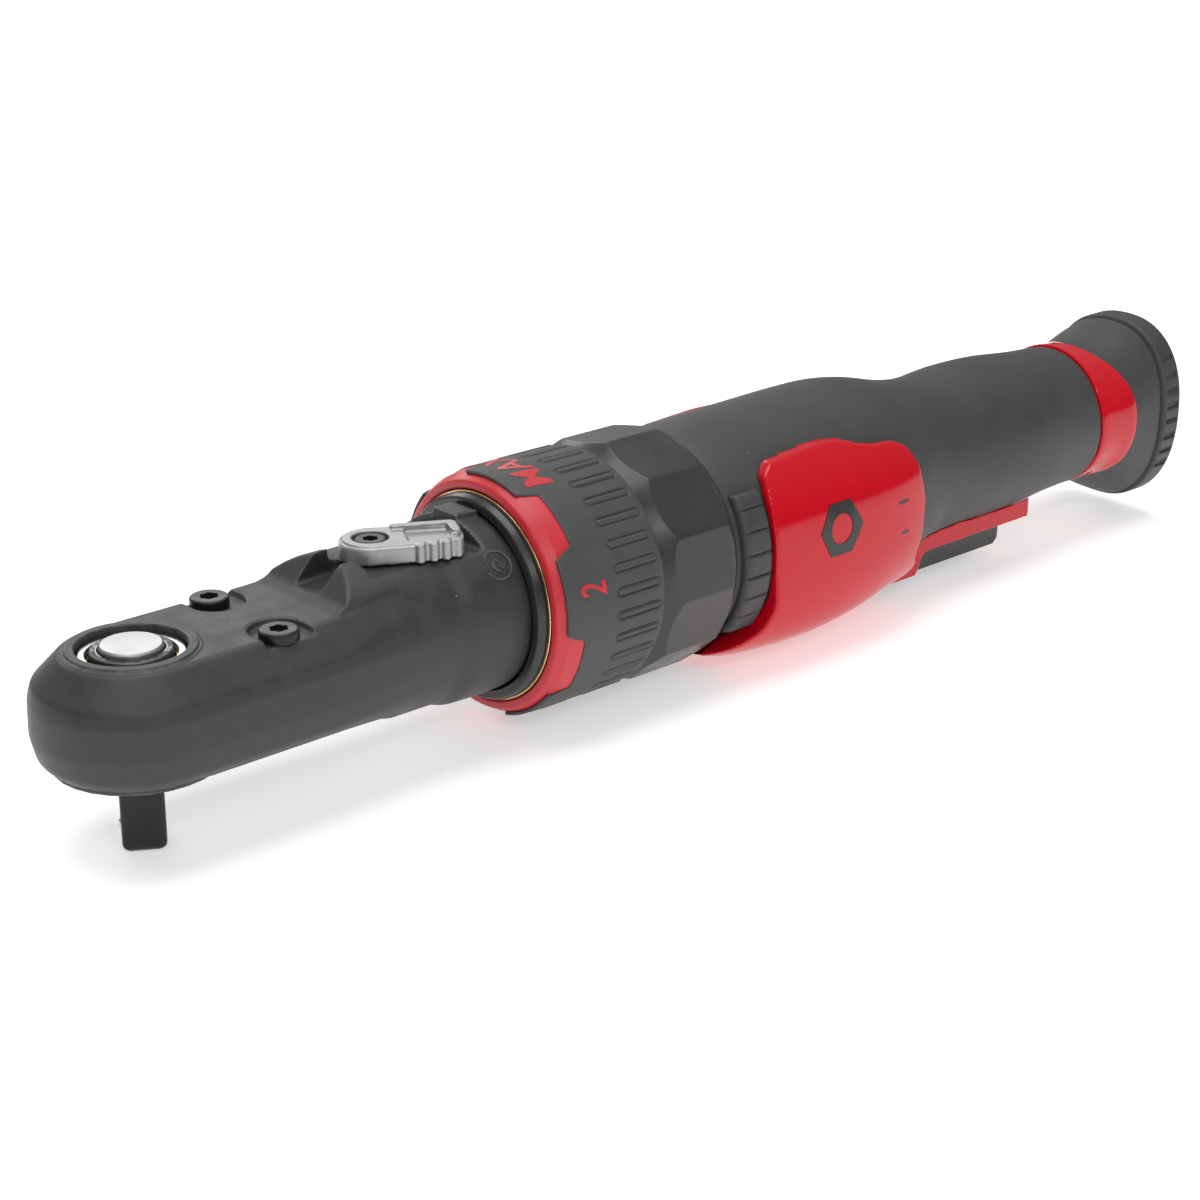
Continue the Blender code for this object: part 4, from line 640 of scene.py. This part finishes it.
def build_dial():
    seal = revolve("seal", fillet([
        (61.0, 15.0), (61.0, 16.3, 0.5), (62.1, 16.75, 0.4), (64.4, 16.75, 0.2), (64.4, 14.35), (62.4, 14.35),
    ], True), BLACK_PLASTIC, steps=160)
    give(seal, "root", "black_plastic", "seal_ring")
    wire = revolve("wire_ring", fillet([
        (62.75, 16.6, 0.15), (62.75, 17.0, 0.15), (63.15, 17.0, 0.15), (63.15, 16.6, 0.15),
    ], True), BRASS, steps=160)
    give(wire, "root", "brass", "brass_wire_ring")
    profile = even(fillet([
        (63.4, 17.0, 0.1), (62.7, 17.3, 0.4), (62.9, 18.5, 0.7), (64.6, 19.45, 1.2), (67.0, 19.78, 2),
        (69.2, 19.82), (69.2, 18.3), (84.0, 18.3), (84.0, 14.6), (66.0, 14.6), (66.0, 17.0),
    ], True), 1.2, True)
    ring = revolve("dial_red", profile, RED_PLASTIC, steps=192)
    give(ring, "dial", "red_plastic", "dial_ring")
    # rubber sleeve with a waved front edge and low ribs
    ribs = 33
    pitch = TURN / ribs
    first = math.pi - math.radians(8.6)

    def front(phi):
        return 63.95 + 3.5 * lobe(phi)

    def rib(x, phi):
        turn = (phi - first + pitch / 2) % pitch - pitch / 2
        across = turn * 20.0
        along = max(0.0, abs(x - 78.8) - 3.9)
        reach = math.hypot(across, along)
        groove = math.exp(-((reach - 0.62) / 0.17) ** 2)
        body = 1 - ease((reach - 0.30) / 0.2)
        return 0.10 * body - 0.30 * groove

    steps = ribs * 26
    rings = []
    angles = [TURN * k / steps for k in range(steps)]

    def ring_at(x_of, r_of):
        """One ring of the sleeve, whose place and radius may change round it."""
        ring = []
        for phi in angles:
            x = x_of(phi)
            r = r_of(x, phi)
            ring.append((x, r * math.cos(phi), AXIS + r * math.sin(phi)))
        rings.append(ring)

    ring_at(lambda p: 69.0, lambda x, p: 19.0)
    ring_at(lambda p: front(p) + 0.1, lambda x, p: base_radius(x) - 0.5)
    ring_at(lambda p: front(p), lambda x, p: base_radius(x) - 0.28)
    ring_at(lambda p: front(p) + 0.04, lambda x, p: base_radius(x) - 0.08)
    ring_at(lambda p: front(p) + 0.2, lambda x, p: base_radius(x))
    for share in (0.15, 0.35, 0.6, 0.85):
        ring_at(lambda p, share=share: front(p) + (72.6 - front(p)) * share, lambda x, p: base_radius(x))
    x = 73.4
    while x < 84.3:
        ring_at(lambda p, x=x: x, lambda x, p: base_radius(x) + rib(x, p))
        x += 0.25 if x < 75.8 or x > 81.8 else 0.9
    for x, r in ((84.5, 19.55), (84.68, 19.3), (84.72, 19.0), (84.5, 18.35), (72.0, 18.35), (69.3, 18.35)):
        ring_at(lambda p, x=x: x, lambda xx, p, r=r: r)
    sleeve = skin("dial_rubber_sleeve", rings + [rings[0]], DIAL_RUBBER, 50, caps=False)
    give(sleeve, "dial", "dial_rubber", "dial_sleeve")
    mark("mark_one", "1", -59.5, 69.3, 5.2, 0.66)
    mark("mark_two", "2", 14.0, 69.4, 5.2, 0.66)
    mark("mark_max", "MAX", 88.0, 69.4, 5.2, 0.92)
    tab = fillet([(61.2, 0.2, 0.3), (63.2, 0.2, 0.3), (63.2, 2.6, 0.3), (61.2, 2.6, 0.3)], True, 3)
    piece = prism("index", tab, 36.9, 38.2, RED_PLASTIC)
    give(smooth(bevel(piece, 0.25, 3), 40), "root", "red_plastic", "index_tab")


def base_radius(x):
    """Crown of the rubber sleeve."""
    return 20.02 - 0.16 * ease((67.5 - x) / 4.0) - 0.25 * ease((x - 82.6) / 2.0)


def mark(name, text, theta_deg, x_middle, height, stretch):
    """A numeral moulded in the sleeve, bent round it. It reads upwards round the near side."""
    curve = bpy.data.curves.new(name, "FONT")
    curve.body = text
    curve.align_x = "CENTER"
    curve.size = 10.0
    curve.offset = 0.16
    curve.resolution_u = 6
    source = bpy.data.objects.new(name + "_form", curve)
    SCENE.collection.objects.link(source)
    bpy.context.view_layer.update()
    graph = bpy.context.evaluated_depsgraph_get()
    mesh = bpy.data.meshes.new_from_object(source.evaluated_get(graph))
    bpy.data.objects.remove(source, do_unlink=True)
    bm = bmesh.new()
    bm.from_mesh(mesh)
    bmesh.ops.triangulate(bm, faces=bm.faces)
    for _ in range(2):
        long = [e for e in bm.edges if e.calc_length() > 0.9]
        bmesh.ops.subdivide_edges(bm, edges=long, cuts=1)
        bmesh.ops.triangulate(bm, faces=bm.faces)
    low = min(v.co.y for v in bm.verts)
    high = max(v.co.y for v in bm.verts)
    scale = height / (high - low)
    faces = bmesh.ops.extrude_face_region(bm, geom=bm.faces[:])
    lifted = [g for g in faces["geom"] if isinstance(g, bmesh.types.BMVert)]
    for v in lifted:
        v.co.z = 1.0
    for v in bm.verts:
        u = v.co.x * scale * stretch
        up = (v.co.y - (low + high) / 2) * scale
        slant = up * 0.10
        theta = math.radians(theta_deg) + (u + slant) / 20.0
        x = x_middle - up
        radius = base_radius(x) + (0.06 if v.co.z > 0.5 else -0.2)
        v.co = Vector((x, -radius * math.cos(theta), AXIS + radius * math.sin(theta))) * MM
    bmesh.ops.recalc_face_normals(bm, faces=bm.faces)
    bm.to_mesh(mesh)
    bm.free()
    mesh.materials.clear()
    mesh.materials.append(RED_PLASTIC)
    obj = bpy.data.objects.new(name, mesh)
    SCENE.collection.objects.link(obj)
    give(smooth(obj, 40), "dial", "red_plastic")


# ---------------------------------------------------------------- clamp nut
def build_nut():
    apothem = NUT_CORNER * math.cos(math.pi / 12)
    corner0 = math.pi - math.radians(24.0)
    pitch = TURN / 12

    def soft_min(a, b, k=0.045):
        """The smaller of two radii, with a narrow blend where they meet."""
        h = max(k - abs(a - b), 0.0) / k
        return min(a, b) - h * h * k / 4

    def shape(x, r, phi):
        if r < 18.2:
            return x, r
        turn = (phi - corner0) % pitch - pitch / 2
        facet = apothem / math.cos(turn)
        facet = soft_min(facet, 20.47, 0.05)
        cone = 18.7 + (x - 84.8) * 0.56
        rear = NUT_CORNER - max(0.0, x - 99.2) * 0.75
        return x, soft_min(soft_min(facet, cone), rear)

    xs = [84.8 + 0.14 * k for k in range(32)]
    xs += [89.5, 91.0, 93.0, 95.0, 97.0, 98.5, 99.0, 99.3, 99.6, 99.85, 100.1]
    profile = [(84.95, 14.6), (84.8, 15.0), (84.8, 17.6)] + [(x, 20.0) for x in xs]
    profile += [(100.1, 17.1), (99.9, 16.8), (87.7, 16.8), (87.7, 14.6)]
    nut = revolve("nut", profile, NUT_BLACK, steps=12 * 48, shape=shape, sharp=24)
    give(nut, "root", "nut_black", "clamp_nut")


# ---------------------------------------------------------------- handle
GRIP = [
    (101.4, 18.6, 18.6, 18.0), (104, 18.9, 19.0, 18.2), (121, 19.0, 19.6, 18.4), (136, 19.2, 19.9, 18.4),
    (143, 19.0, 19.8, 18.0), (149, 18.2, 19.0, 17.0), (159, 15.8, 16.6, 13.9), (167, 15.0, 15.6, 13.2),
    (177, 15.0, 16.2, 13.2), (187, 14.8, 16.0, 13.2), (198, 13.9, 14.9, 12.6), (209, 13.3, 14.3, 12.6),
    (213.4, 13.4, 14.3, 12.7),
]
BOOT = [
    # x, half width, height above the axis, depth below it, squareness
    (206.0, 13.35, 14.5, 12.4, 2.0), (213.4, 13.4, 14.3, 12.7, 2.0), (217, 13.5, 14.9, 14.7, 2.1),
    (221, 13.6, 16.0, 16.8, 2.2), (225.2, 13.7, 16.8, 18.6, 2.3),
]


def grip_ring(x, grow=0.0, count=144):
    side, top, bottom = between(GRIP, x)
    return [(x, y, z) for y, z in section(side + grow, top + grow, bottom + grow, 2.0, count)]


def build_grip():
    xs = [101.4, 101.5, 101.8] + [102.4 + 1.04 * k for k in range(100)]
    xs = [x for x in xs if x < 206.2] + [206.5, 206.75, 206.85]
    rings = [grip_ring(101.4, -0.5)]
    for x in xs[1:]:
        edge = 0.5 * (1 - ease((x - 101.4) / 0.5)) + 0.3 * ease((x - 206.3) / 0.55)
        rings.append(grip_ring(x, -edge))
    grip = skin("grip", rings, GRIP_RUBBER)
    hollow = [(90.0, 0), (90.0, 16.7), (151.2, 16.7), (154.8, 11.8), (156.4, 10.9), (240.0, 10.9),
              (240.0, 0)]
    combine(grip, revolve("hollow", hollow, GRIP_RUBBER, steps=72))
    trough = fillet([(150.2, -7.3, 1.2), (187.2, -7.3, 2.5), (187.2, 7.3, 2.5), (150.2, 7.3, 1.2)], True)
    combine(grip, prism("trough", trough, -5.0, AXIS - 9.9, GRIP_RUBBER))
    give(smooth(grip, 35), "root", "grip_rubber", "grip_overmould")


def boot_ring(x, grow, count=240, at=None):
    side, top, bottom, power = between(BOOT, x if at is None else at)
    return [(x, y, z) for y, z in section(side + grow, top + grow, bottom + grow, power, count)]


def build_band():
    """A red band that widens into a crescent on each side."""
    count = 192
    columns = []
    for k in range(count):
        phi = TURN * k / count
        right = 211.2 + 6.6 * abs(math.cos(phi)) ** 1.6
        column = []
        for t, lift in ((0.0, -0.9), (0.0, 0.0), (0.012, 0.14), (0.05, 0.22), (0.2, 0.22), (0.4, 0.22),
                        (0.6, 0.22), (0.8, 0.22), (0.95, 0.22), (0.985, 0.14), (1.0, 0.0), (1.0, -0.9)):
            x = 207.0 + (right - 207.0) * t
            side, top, bottom, power = between(BOOT, x)
            c, s = math.cos(phi), math.sin(phi)
            y = (side + lift) * math.copysign(abs(c) ** (2 / power), c)
            z = ((top if s > 0 else bottom) + lift) * math.copysign(abs(s) ** (2 / power), s)
            column.append((x, y, AXIS + z))
        columns.append(column)
    n = len(columns[0])
    points = [p for column in columns for p in column]
    faces = []
    for k in range(count):
        j = (k + 1) % count
        for i in range(n):
            m = (i + 1) % n
            faces.append((k * n + i, j * n + i, j * n + m, k * n + m))
    give(make("band", points, faces, RED_GLOSS, 40), "root", "red_gloss", "rear_band")


def build_boot():
    rings = [boot_ring(207.3, -0.9), boot_ring(207.3, -0.1)]
    rings += [boot_ring(x, 0.0) for x in [208 + 0.9 * k for k in range(19)] + [224.6, 225.0]]
    for x, grow in ((225.15, -0.12), (225.3, -0.40), (225.75, -0.42), (225.9, -0.1), (226.0, 0.25),
                    (226.2, 0.46), (226.5, 0.55)):
        rings.append(boot_ring(x, grow, at=225.2))
    for x in [226.7, 226.8, 227.0, 228.0, 229.0, 229.8, 230.2, 230.35, 230.5]:
        ring = []
        depth = ease((x - 226.6) / 0.3) * ease((230.6 - x) / 0.3)
        for _, y, z in boot_ring(x, 0.6, at=225.2):
            tall = z - AXIS
            cut = ease((abs(math.sin(math.pi * tall / 3.0)) - 0.80) / 0.12) if abs(tall) < 12.2 else 0.0
            ring.append((x, y - math.copysign(0.55 * cut * depth, y), z))
        rings.append(ring)
    for x, grow in ((230.9, 0.45), (231.2, 0.15), (231.38, -0.25), (231.4, -0.7), (231.4, -1.8)):
        rings.append(boot_ring(x, grow, at=225.2))
    boot = skin("boot", rings, GRIP_RUBBER, 38)
    hollow = [(200.0, 0), (200.0, 10.95), (222.0, 10.95), (224.0, 11.6), (230.6, 11.6), (231.4, 12.4),
              (240.0, 12.4), (240.0, 0)]
    combine(boot, revolve("boot_hollow", hollow, GRIP_RUBBER, steps=72))
    give(smooth(boot, 38), "root", "grip_rubber", "exhaust_boot")


def build_pads():
    """Ribbed side pads just behind the clamp nut."""
    for sign, name, node in ((-1, "pad_right", "ribbed_pad_right"), (1, "pad_left", "ribbed_pad_left")):
        rows, columns = 150, 16
        outer = []
        for i in range(rows + 1):
            theta = PAD_LOW + (PAD_HIGH - PAD_LOW) * i / rows
            wave = abs(math.sin(math.pi * (theta - 5.5) / 10.9))
            groove = 0.42 * math.exp(-((wave / 0.16) ** 2))
            ends = min(1.0, min(PAD_HIGH - theta, theta - PAD_LOW) / 4.0)
            row = []
            for j in range(columns + 1):
                x = PAD_FRONT + (PAD_REAR - PAD_FRONT) * j / columns
                edge = min(x - PAD_FRONT, PAD_REAR - x)
                soft = math.sqrt(max(0.0, 1 - (1 - min(1.0, edge)) ** 2))
                soft *= math.sqrt(max(0.0, 1 - (1 - ends) ** 2))
                r = 19.3 + (0.98 - groove * ease(edge / 0.6)) * soft
                a = math.radians(theta)
                row.append((x, sign * r * math.cos(a), AXIS + r * math.sin(a)))
            outer.append(row)
        inner = []
        for row in outer:
            shrink = [18.8 / math.hypot(y, z - AXIS) for _, y, z in row]
            inner.append([(x, y * k, AXIS + (z - AXIS) * k) for (x, y, z), k in zip(row, shrink)])
        points = [p for row in outer + inner for p in row]
        w = columns + 1
        base = (rows + 1) * w
        faces = []
        for i in range(rows):
            for j in range(columns):
                a = i * w + j
                faces.append((a, a + 1, a + w + 1, a + w))
                faces.append((base + a, base + a + w, base + a + w + 1, base + a + 1))
        border = list(range(w)) + [i * w + columns for i in range(1, rows + 1)]
        border += [rows * w + j for j in reversed(range(columns))]
        border += [i * w for i in reversed(range(1, rows))]
        for k, a in enumerate(border):
            b = border[(k + 1) % len(border)]
            faces.append((a, b, base + b, base + a))
        give(make(name, points, faces, GRIP_RUBBER, 40), "root", "grip_rubber", node)


# ---------------------------------------------------------------- shroud and throttle
SHROUD = [
    # x, half width, height above the axis, depth below it
    (100.4, 20.0, 20.0, 18.6), (106, 20.4, 20.4, 20.2), (112, 20.6, 20.6, 21.0), (125, 20.8, 20.8, 21.4),
    (135, 20.6, 20.6, 20.3), (143, 20.0, 20.3, 18.4), (149.5, 19.0, 19.6, 17.4),
]
SHROUD_SIDE = [
    # x, height over the axis, corner radius
    (109.1, 2.0, 6), (109.2, 9.5, 6), (110.2, 13.2, 2.4), (112.6, 14.6, 3), (118.0, 15.0, 8),
    (124.5, 15.4, 8), (130.0, 15.1, 6), (134.0, 13.7, 6), (138.0, 12.9, 6), (142.0, 12.7, 4),
    (145.2, 11.2, 3), (147.2, 8.0, 5), (148.0, 2.0, 8), (147.8, -5.0, 8), (147.0, -9.0, 4),
    (149.0, -11.0, 1), (149.2, -26.0), (100.8, -26.0), (101.0, -16.9, 1), (104.6, -15.4, 4),
    (108.6, -12.6, 3), (110.2, -8.6, 5), (109.2, -3.0, 8),
]


def build_shroud():
    rings = []
    for k in range(50):
        x = 100.4 + k
        side, top, bottom = between(SHROUD, x)
        ring = section(side, top, bottom, SHROUD_UPPER, 144, SHROUD_LOWER)
        rings.append([(x, y, z) for y, z in ring])
    shroud = skin("shroud", rings, RED_GLOSS)
    outline = [(x, AXIS + z) for x, z in even(fillet(SHROUD_SIDE, True, 6), 1.5, True)]
    combine(shroud, prism("shroud_outline", outline, -30, 30, RED_GLOSS, "Y"), "INTERSECT")
    inside = [grip_ring(x, 0.05) for x in [95.0] + [101.4 + k for k in range(52)]]
    combine(shroud, skin("shroud_hollow", inside, RED_GLOSS))
    scoop = fillet([(-11.0, AXIS - 19.6, 2.5), (11.0, AXIS - 19.6, 2.5), (11.0, AXIS - 10),
                    (-11.0, AXIS - 10)], True)
    combine(shroud, prism("scoop", scoop, 99.0, 112.0, RED_GLOSS, "X"))
    remesh(shroud, 0.30, 9, RED_GLOSS, 70)
    give(shroud, "root", "red_gloss", "side_shroud")


def build_throttle():
    """The frame under the grip and the lever that it carries."""
    bezel = block("bezel", 149.7, 191.0, -9.2, 9.2, AXIS - 18.0, AXIS - 8.5, RED_GLOSS)
    cut = fillet([(160.5, -14.0, 3), (195.0, -14.0), (195.0, -22.0), (146.0, -22.0), (146.0, -18.4),
                  (158.5, -18.2, 1.5), (159.6, -16.0, 2)], True)
    combine(bezel, prism("bezel_side", [(x, AXIS + z) for x, z in cut], -12, 12, RED_GLOSS, "Y"))
    combine(bezel, block("bezel_slot", 150.6, 187.6, -7.3, 7.3, -5.0, 20.0, RED_GLOSS))
    inside = [grip_ring(140 + 1.5 * k, 0.05) for k in range(44)]
    combine(bezel, skin("bezel_hollow", inside, RED_GLOSS))
    remesh(bezel, 0.24, 4, RED_GLOSS, 60)
    give(bezel, "root", "red_gloss", "throttle_bezel")
    outline = fillet([(153.1, -17.0, 0.6), (154.4, -18.4, 1.0), (183.6, -18.4, 0.8), (184.8, -17.4, 0.8),
                      (184.9, -14.7, 0.6), (184.2, -14.2, 0.3), (154.0, -14.2, 0.5), (153.1, -15.2, 0.5)],
                     True, 6)
    lever = prism("throttle", [(x, AXIS + z) for x, z in outline], -6.9, 6.9, BLACK_PLASTIC, "Y")
    for k in range(7):
        x = 166.0 + 2.3 * k
        groove = [(x - 0.45, AXIS - 18.7), (x + 0.45, AXIS - 18.7), (x, AXIS - 18.05)]
        combine(lever, prism("thumb_groove", groove, -5.6, 5.6, BLACK_PLASTIC, "Y"))
    give(smooth(bevel(lever, 0.45, 4, 60), 40), "throttle", "black_plastic", "throttle_lever")


def badge(sign, side_name):
    """A plain hexagon nut mark on the side of the shroud."""
    radius, inner, count = 5.2, 2.6, 120
    points = []
    for level in (-0.25, 0.10):
        for which in (inner, radius):
            for k in range(count):
                a = TURN * k / count
                r = inner
                if which == radius:
                    turn = a % (math.pi / 3) - math.pi / 6
                    r = radius * math.cos(math.pi / 6) / math.cos(turn)
                points.append(shroud_point(124.6 + r * math.cos(a), 2.0 + r * math.sin(a), sign, level))
    faces = []
    a, b, c, d = 0, count, 2 * count, 3 * count
    for k in range(count):
        j = (k + 1) % count
        faces.append((a + k, a + j, b + j, b + k))
        faces.append((c + k, d + k, d + j, c + j))
        faces.append((a + k, c + k, c + j, a + j))
        faces.append((b + k, b + j, d + j, d + k))
    give(make(f"badge_nut_{side_name}", points, faces, INK_AND_SLIT_SHADE, 40), "root", "black_plastic")


def slit(which, side_name, sign, x0, x1, height):
    """A small moulded slit on the side of the shroud, drawn as a thin black strip lying on it: the black is
    painted shade of the slit, which is not cut.
    """
    points = []
    for k in range(9):
        x = x0 + (x1 - x0) * k / 8
        half = 0.24 * math.sqrt(max(0.0, 1 - (abs(k - 4) / 4) ** 4)) + 0.03
        for level in (-0.25, 0.03):
            points.append(shroud_point(x, height - half, sign, level))
            points.append(shroud_point(x, height + half, sign, level))
    faces = [(0, 1, 3, 2), (32, 34, 35, 33)]
    for a in range(0, 32, 4):
        faces += [(a, a + 4, a + 5, a + 1), (a + 2, a + 3, a + 7, a + 6), (a, a + 2, a + 6, a + 4),
                  (a + 1, a + 5, a + 7, a + 3)]
    # painted shade: a black strip where the slit's shade falls, with no recess cut
    give(make(f"slit_{which}_{side_name}", points, faces, INK_AND_SLIT_SHADE, 40), "root", "black_plastic")


def shroud_point(x, height, sign, lift):
    """A point on the shroud's side at this height over the axis."""
    side, top, bottom = between(SHROUD, x)
    tall = top if height > 0 else bottom
    power = SHROUD_UPPER if height > 0 else SHROUD_LOWER
    y = side * max(0.0, 1 - abs(height / tall) ** power) ** (1 / power)
    return (x, sign * (y + lift), AXIS + height)


def build_inlet():
    corners = [k * math.pi / 3 for k in range(6)]
    hexagon = [(8.2 * math.cos(a), AXIS + 8.2 * math.sin(a), 0.5) for a in corners]
    bush = prism("inlet", fillet(hexagon, True, 4), 225.0, 232.0, GEAR_STEEL, "X")
    bevel(bush, 0.4, 2)

    def thread(along, radius, angle):
        if 5.0 < radius < 6.2 and 209 < along < 231:
            radius += 0.28 * math.sin(TURN * along / 1.4 + angle)
        return along, radius

    wall = [(200.0, 0)] + [(200.0 + 0.35 * k, 5.6) for k in range(90)]
    wall += [(231.3, 5.9), (232.0, 6.5), (240.0, 6.5), (240.0, 0)]
    bore = revolve("inlet_bore", wall, GEAR_STEEL, steps=72, shape=thread)
    shank = fillet([(208.0, 0), (208.0, 8.0, 0.3), (225.6, 8.0), (225.6, 0)])
    combine(bush, revolve("inlet_shank", shank, GEAR_STEEL, steps=72), "UNION")
    give(smooth(combine(bush, bore), 30), "root", "gear_steel", "inlet_bushing")


build_head()
cap_screw("screw_left", SCREW_X, SCREW_Y, SCREW_SEAT, 2.95, 1.6, 1.5, 15.5, "root", "head_screw_left")
cap_screw("screw_right", SCREW_X, -SCREW_Y, SCREW_SEAT, 2.95, 1.6, 1.5, 15.5, "root", "head_screw_right")
cap_screw("pivot_screw", LEVER_X, 0, 35.15, 2.5, 1.35, 0.8, 32.5, "selector", "selector_screw")
build_drive()
build_selector()
build_dial()
build_nut()
build_grip()
build_band()
build_boot()
build_pads()
build_shroud()
build_throttle()
for side_sign, side_name in ((-1, "right"), (1, "left")):
    badge(side_sign, side_name)
    slit("upper", side_name, side_sign, 139.5, 142.6, 2.9)
    slit("lower", side_name, side_sign, 140.6, 142.9, -2.75)
build_inlet()

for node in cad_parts.values():
    for material_slot in node.material_slots:
        name = (material_slot.material.name if material_slot.material else "").split(".")[0]
        material_slot.material = SLOTS.get(name, GEAR_STEEL)


# ---------------------------------------------------------------- stage
def build_stage():
    floor_mat = bpy.data.materials.new("paper")
    floor_mat.use_nodes = True
    nodes, links = floor_mat.node_tree.nodes, floor_mat.node_tree.links
    shader = nodes["Principled BSDF"]
    shader.inputs["Base Color"].default_value = (0.86, 0.86, 0.86, 1)
    shader.inputs["Roughness"].default_value = 0.9
    shader.inputs["Specular IOR Level"].default_value = 0.1
    shader.inputs["Emission Color"].default_value = (1, 1, 1, 1)
    shader.inputs["Emission Strength"].default_value = 0.46
    mesh = bpy.data.meshes.new("floor")
    mesh.from_pydata([(-6, -6, 0), (6, -6, 0), (6, 6, 0), (-6, 6, 0)], [], [(0, 1, 2, 3)])
    mesh.materials.append(floor_mat)
    floor = bpy.data.objects.new("floor", mesh)
    SCENE.collection.objects.link(floor)

    world = bpy.data.worlds.new("studio")
    SCENE.world = world
    world.use_nodes = True
    nodes, links = world.node_tree.nodes, world.node_tree.links
    sky = nodes["Background"]
    place = nodes.new("ShaderNodeTexCoord")
    split = nodes.new("ShaderNodeSeparateXYZ")
    links.new(place.outputs["Generated"], split.inputs["Vector"])
    ramp = nodes.new("ShaderNodeValToRGB")
    ramp.color_ramp.elements[0].position = 0.05
    ramp.color_ramp.elements[0].color = (0.30, 0.30, 0.30, 1)
    ramp.color_ramp.elements[1].position = 0.75
    ramp.color_ramp.elements[1].color = (1, 1, 1, 1)
    links.new(split.outputs["Z"], ramp.inputs["Fac"])
    links.new(ramp.outputs["Color"], sky.inputs["Color"])
    sky.inputs["Strength"].default_value = 0.50

    def lamp(name, spot, aim, wide, tall, power):
        data = bpy.data.lights.new(name, "AREA")
        data.shape = "RECTANGLE"
        data.size = wide
        data.size_y = tall
        data.energy = power
        obj = bpy.data.objects.new(name, data)
        obj.location = spot
        direction = Vector(aim) - Vector(spot)
        obj.rotation_euler = direction.to_track_quat("-Z", "Y").to_euler()
        SCENE.collection.objects.link(obj)

    lamp("top_box", (0.10, 0.05, 0.95), (0.10, 0.0, 0.0), 0.9, 0.6, 5.6)
    lamp("front_strip", (-0.25, -0.75, 0.62), (0.10, 0.0, 0.02), 0.7, 0.16, 2.0)
    lamp("back_box", (0.30, 0.80, 0.45), (0.10, 0.0, 0.02), 0.8, 0.3, 2.2)


def build_camera():
    data = bpy.data.cameras.new("camera")
    data.lens = 71.96
    data.sensor_width = 36.0
    data.clip_start = 0.01
    data.clip_end = 50.0
    camera = bpy.data.objects.new("camera", data)
    SCENE.collection.objects.link(camera)
    azimuth, elevation = math.radians(-42.742), math.radians(20.933)
    level = math.cos(elevation)
    back = Vector((math.sin(azimuth) * level, -math.cos(azimuth) * level, math.sin(elevation)))
    target = Vector((0.0887, 0.0, 0.0146))
    turn = (-back).to_track_quat("-Z", "Y").to_matrix() @ Matrix.Rotation(math.radians(0.18), 3, "Z")
    camera.matrix_world = Matrix.Translation(target + back * 0.3953) @ turn.to_4x4()
    SCENE.camera = camera


build_stage()
build_camera()
SCENE.view_settings.view_transform = "Standard"
